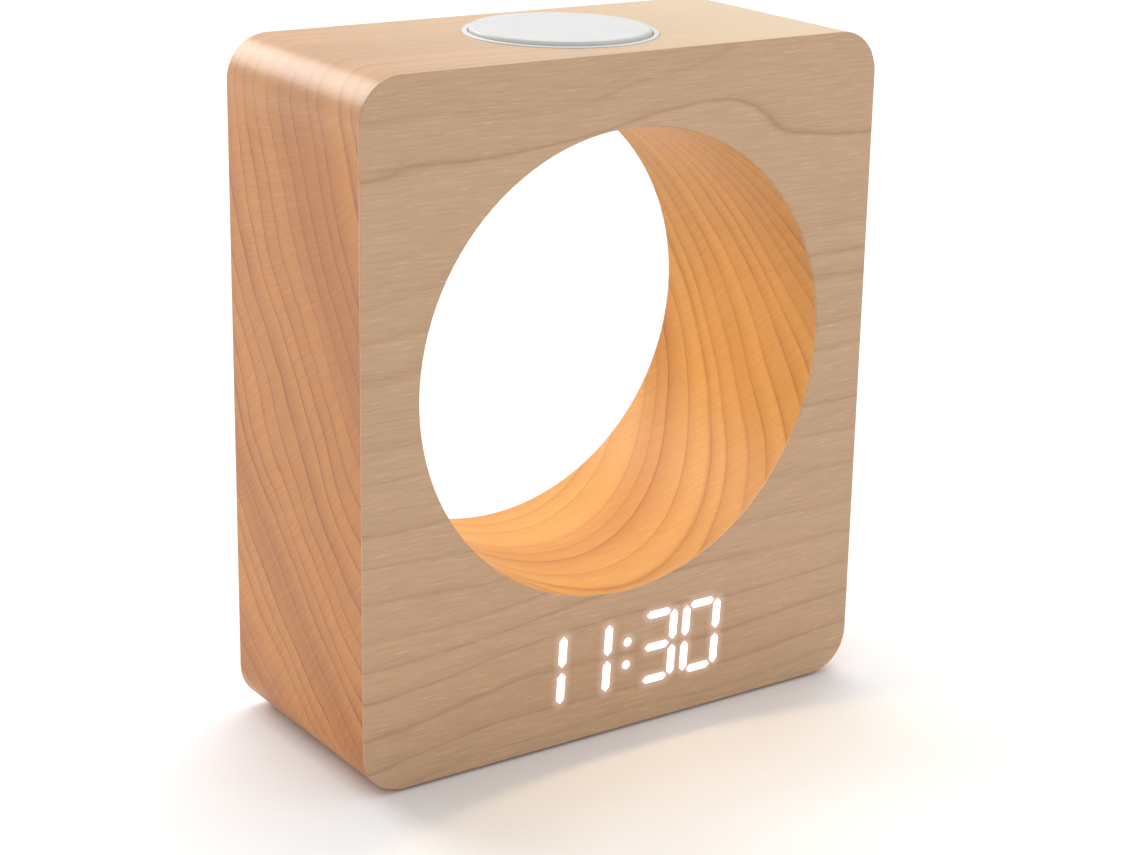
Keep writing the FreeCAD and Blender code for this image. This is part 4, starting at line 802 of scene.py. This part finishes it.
def aimed(name, light, way):
    """A lamp in the scene whose light travels this way."""
    lamp = bpy.data.objects.new(name, light)
    lamp.rotation_mode = "QUATERNION"
    lamp.rotation_quaternion = way.to_track_quat("-Z", "Y")
    bpy.context.scene.collection.objects.link(lamp)
    return lamp


def softbox(name, place, target, width, height, power):
    """A white rectangular lamp of this size in metres, pointed at the target."""
    light = bpy.data.lights.new(name, "AREA")
    light.shape = "RECTANGLE"
    light.size, light.size_y = width, height
    light.energy = power
    aimed(name, light, Vector(target) - Vector(place)).location = place


def floor_paint():
    """Matt white emulsion on a smooth studio floor, with the faintest roller mottle."""
    material, node, point = new_material("matt_emulsion_floor")
    mottle = node("TexNoise", {"Vector": point, "Scale": 1 / 30, "Detail": 3.0})
    pale, paler = linear("#f6f6f6"), linear("#f9f9f9")
    colour = node("Mix", {0: mottle, 6: pale, 7: paler}, out=2, data_type="RGBA")
    return finished(material, {
        "Base Color": colour, "Roughness": 0.9, "IOR": 1.4, "Specular IOR Level": 0.1})


class CLOCK_OT_stage(bpy.types.Operator):
    """Sets the pale floor, the soft lights and the camera"""
    bl_idname = "clock.stage"
    bl_label = "Studio"

    def execute(self, context):
        half = settings(context).floor_half
        sheet = bmesh.new()
        sheet.faces.new([sheet.verts.new((x * half, y * half, 0.0))
                         for x, y in ((-1, -1), (1, -1), (1, 1), (-1, 1))])
        floor = mesh_object("studio_floor", sheet)
        floor.data.materials.append(floor_paint())

        world = bpy.data.worlds.new("studio_white")
        world.use_nodes = True
        world.node_tree.nodes.clear()
        seen = add(world.node_tree, "LightPath", {}, out="Is Camera Ray")
        strength = add(world.node_tree, "MapRange", (seen, 0.0, 1.0, SKY_LIGHT, SKY_SEEN))
        sky = add(world.node_tree, "Background", {"Color": linear("#ffffff"), "Strength": strength})
        add(world.node_tree, "OutputWorld", {"Surface": sky})
        context.scene.world = world
        for box in SOFTBOXES:
            softbox(*box)
        ceiling = bpy.data.lights.new("ceiling_soft", "SUN")
        ceiling.energy = CEILING_LIGHT
        ceiling.angle = math.radians(CEILING_SPREAD)
        aimed("ceiling_soft", ceiling, Vector(CEILING_WAY))

        lens = bpy.data.cameras.new("camera")
        lens.lens = CAMERA_LENS
        lens.sensor_width = CAMERA_FILM
        lens.shift_x, lens.shift_y = CAMERA_SHIFT
        lens.clip_start, lens.clip_end = 0.02, 40.0
        camera = bpy.data.objects.new("camera", lens)
        right, up, back = camera_axes()
        turn = Matrix((right, up, back)).transposed().to_4x4()
        camera.matrix_world = Matrix.Translation(CAMERA_PLACE) @ turn
        context.scene.collection.objects.link(camera)
        context.scene.camera = camera
        context.scene.view_settings.view_transform = "Standard"
        return {"FINISHED"}


STEPS = (
    CLOCK_OT_case, CLOCK_OT_feet, CLOCK_OT_display, CLOCK_OT_display_inside, CLOCK_OT_lamp,
    CLOCK_OT_charger, CLOCK_OT_back, CLOCK_OT_keys, CLOCK_OT_electronics, CLOCK_OT_leads, CLOCK_OT_stage,
)


class CLOCK_PT_panel(bpy.types.Panel):
    """Lists the clock's settings and the steps that make it"""
    bl_label = "Wooden window clock"
    bl_idname = "CLOCK_PT_panel"
    bl_space_type = "VIEW_3D"
    bl_region_type = "UI"
    bl_category = "Clock"

    def draw(self, context):
        column = self.layout.column()
        for name in ClockSettings.__annotations__:
            column.prop(settings(context), name)
        for step in STEPS:
            column.operator(step.bl_idname)


CLASSES = (ClockSettings, *STEPS, CLOCK_PT_panel)


def register():
    for one in CLASSES:
        bpy.utils.register_class(one)
    bpy.types.Scene.window_clock = bpy.props.PointerProperty(type=ClockSettings)


def unregister():
    del bpy.types.Scene.window_clock
    for one in reversed(CLASSES):
        bpy.utils.unregister_class(one)


def main():
    register()
    for step in STEPS:
        group, name = step.bl_idname.split(".")
        getattr(getattr(bpy.ops, group), name)()


if __name__ == "__main__":
    main()
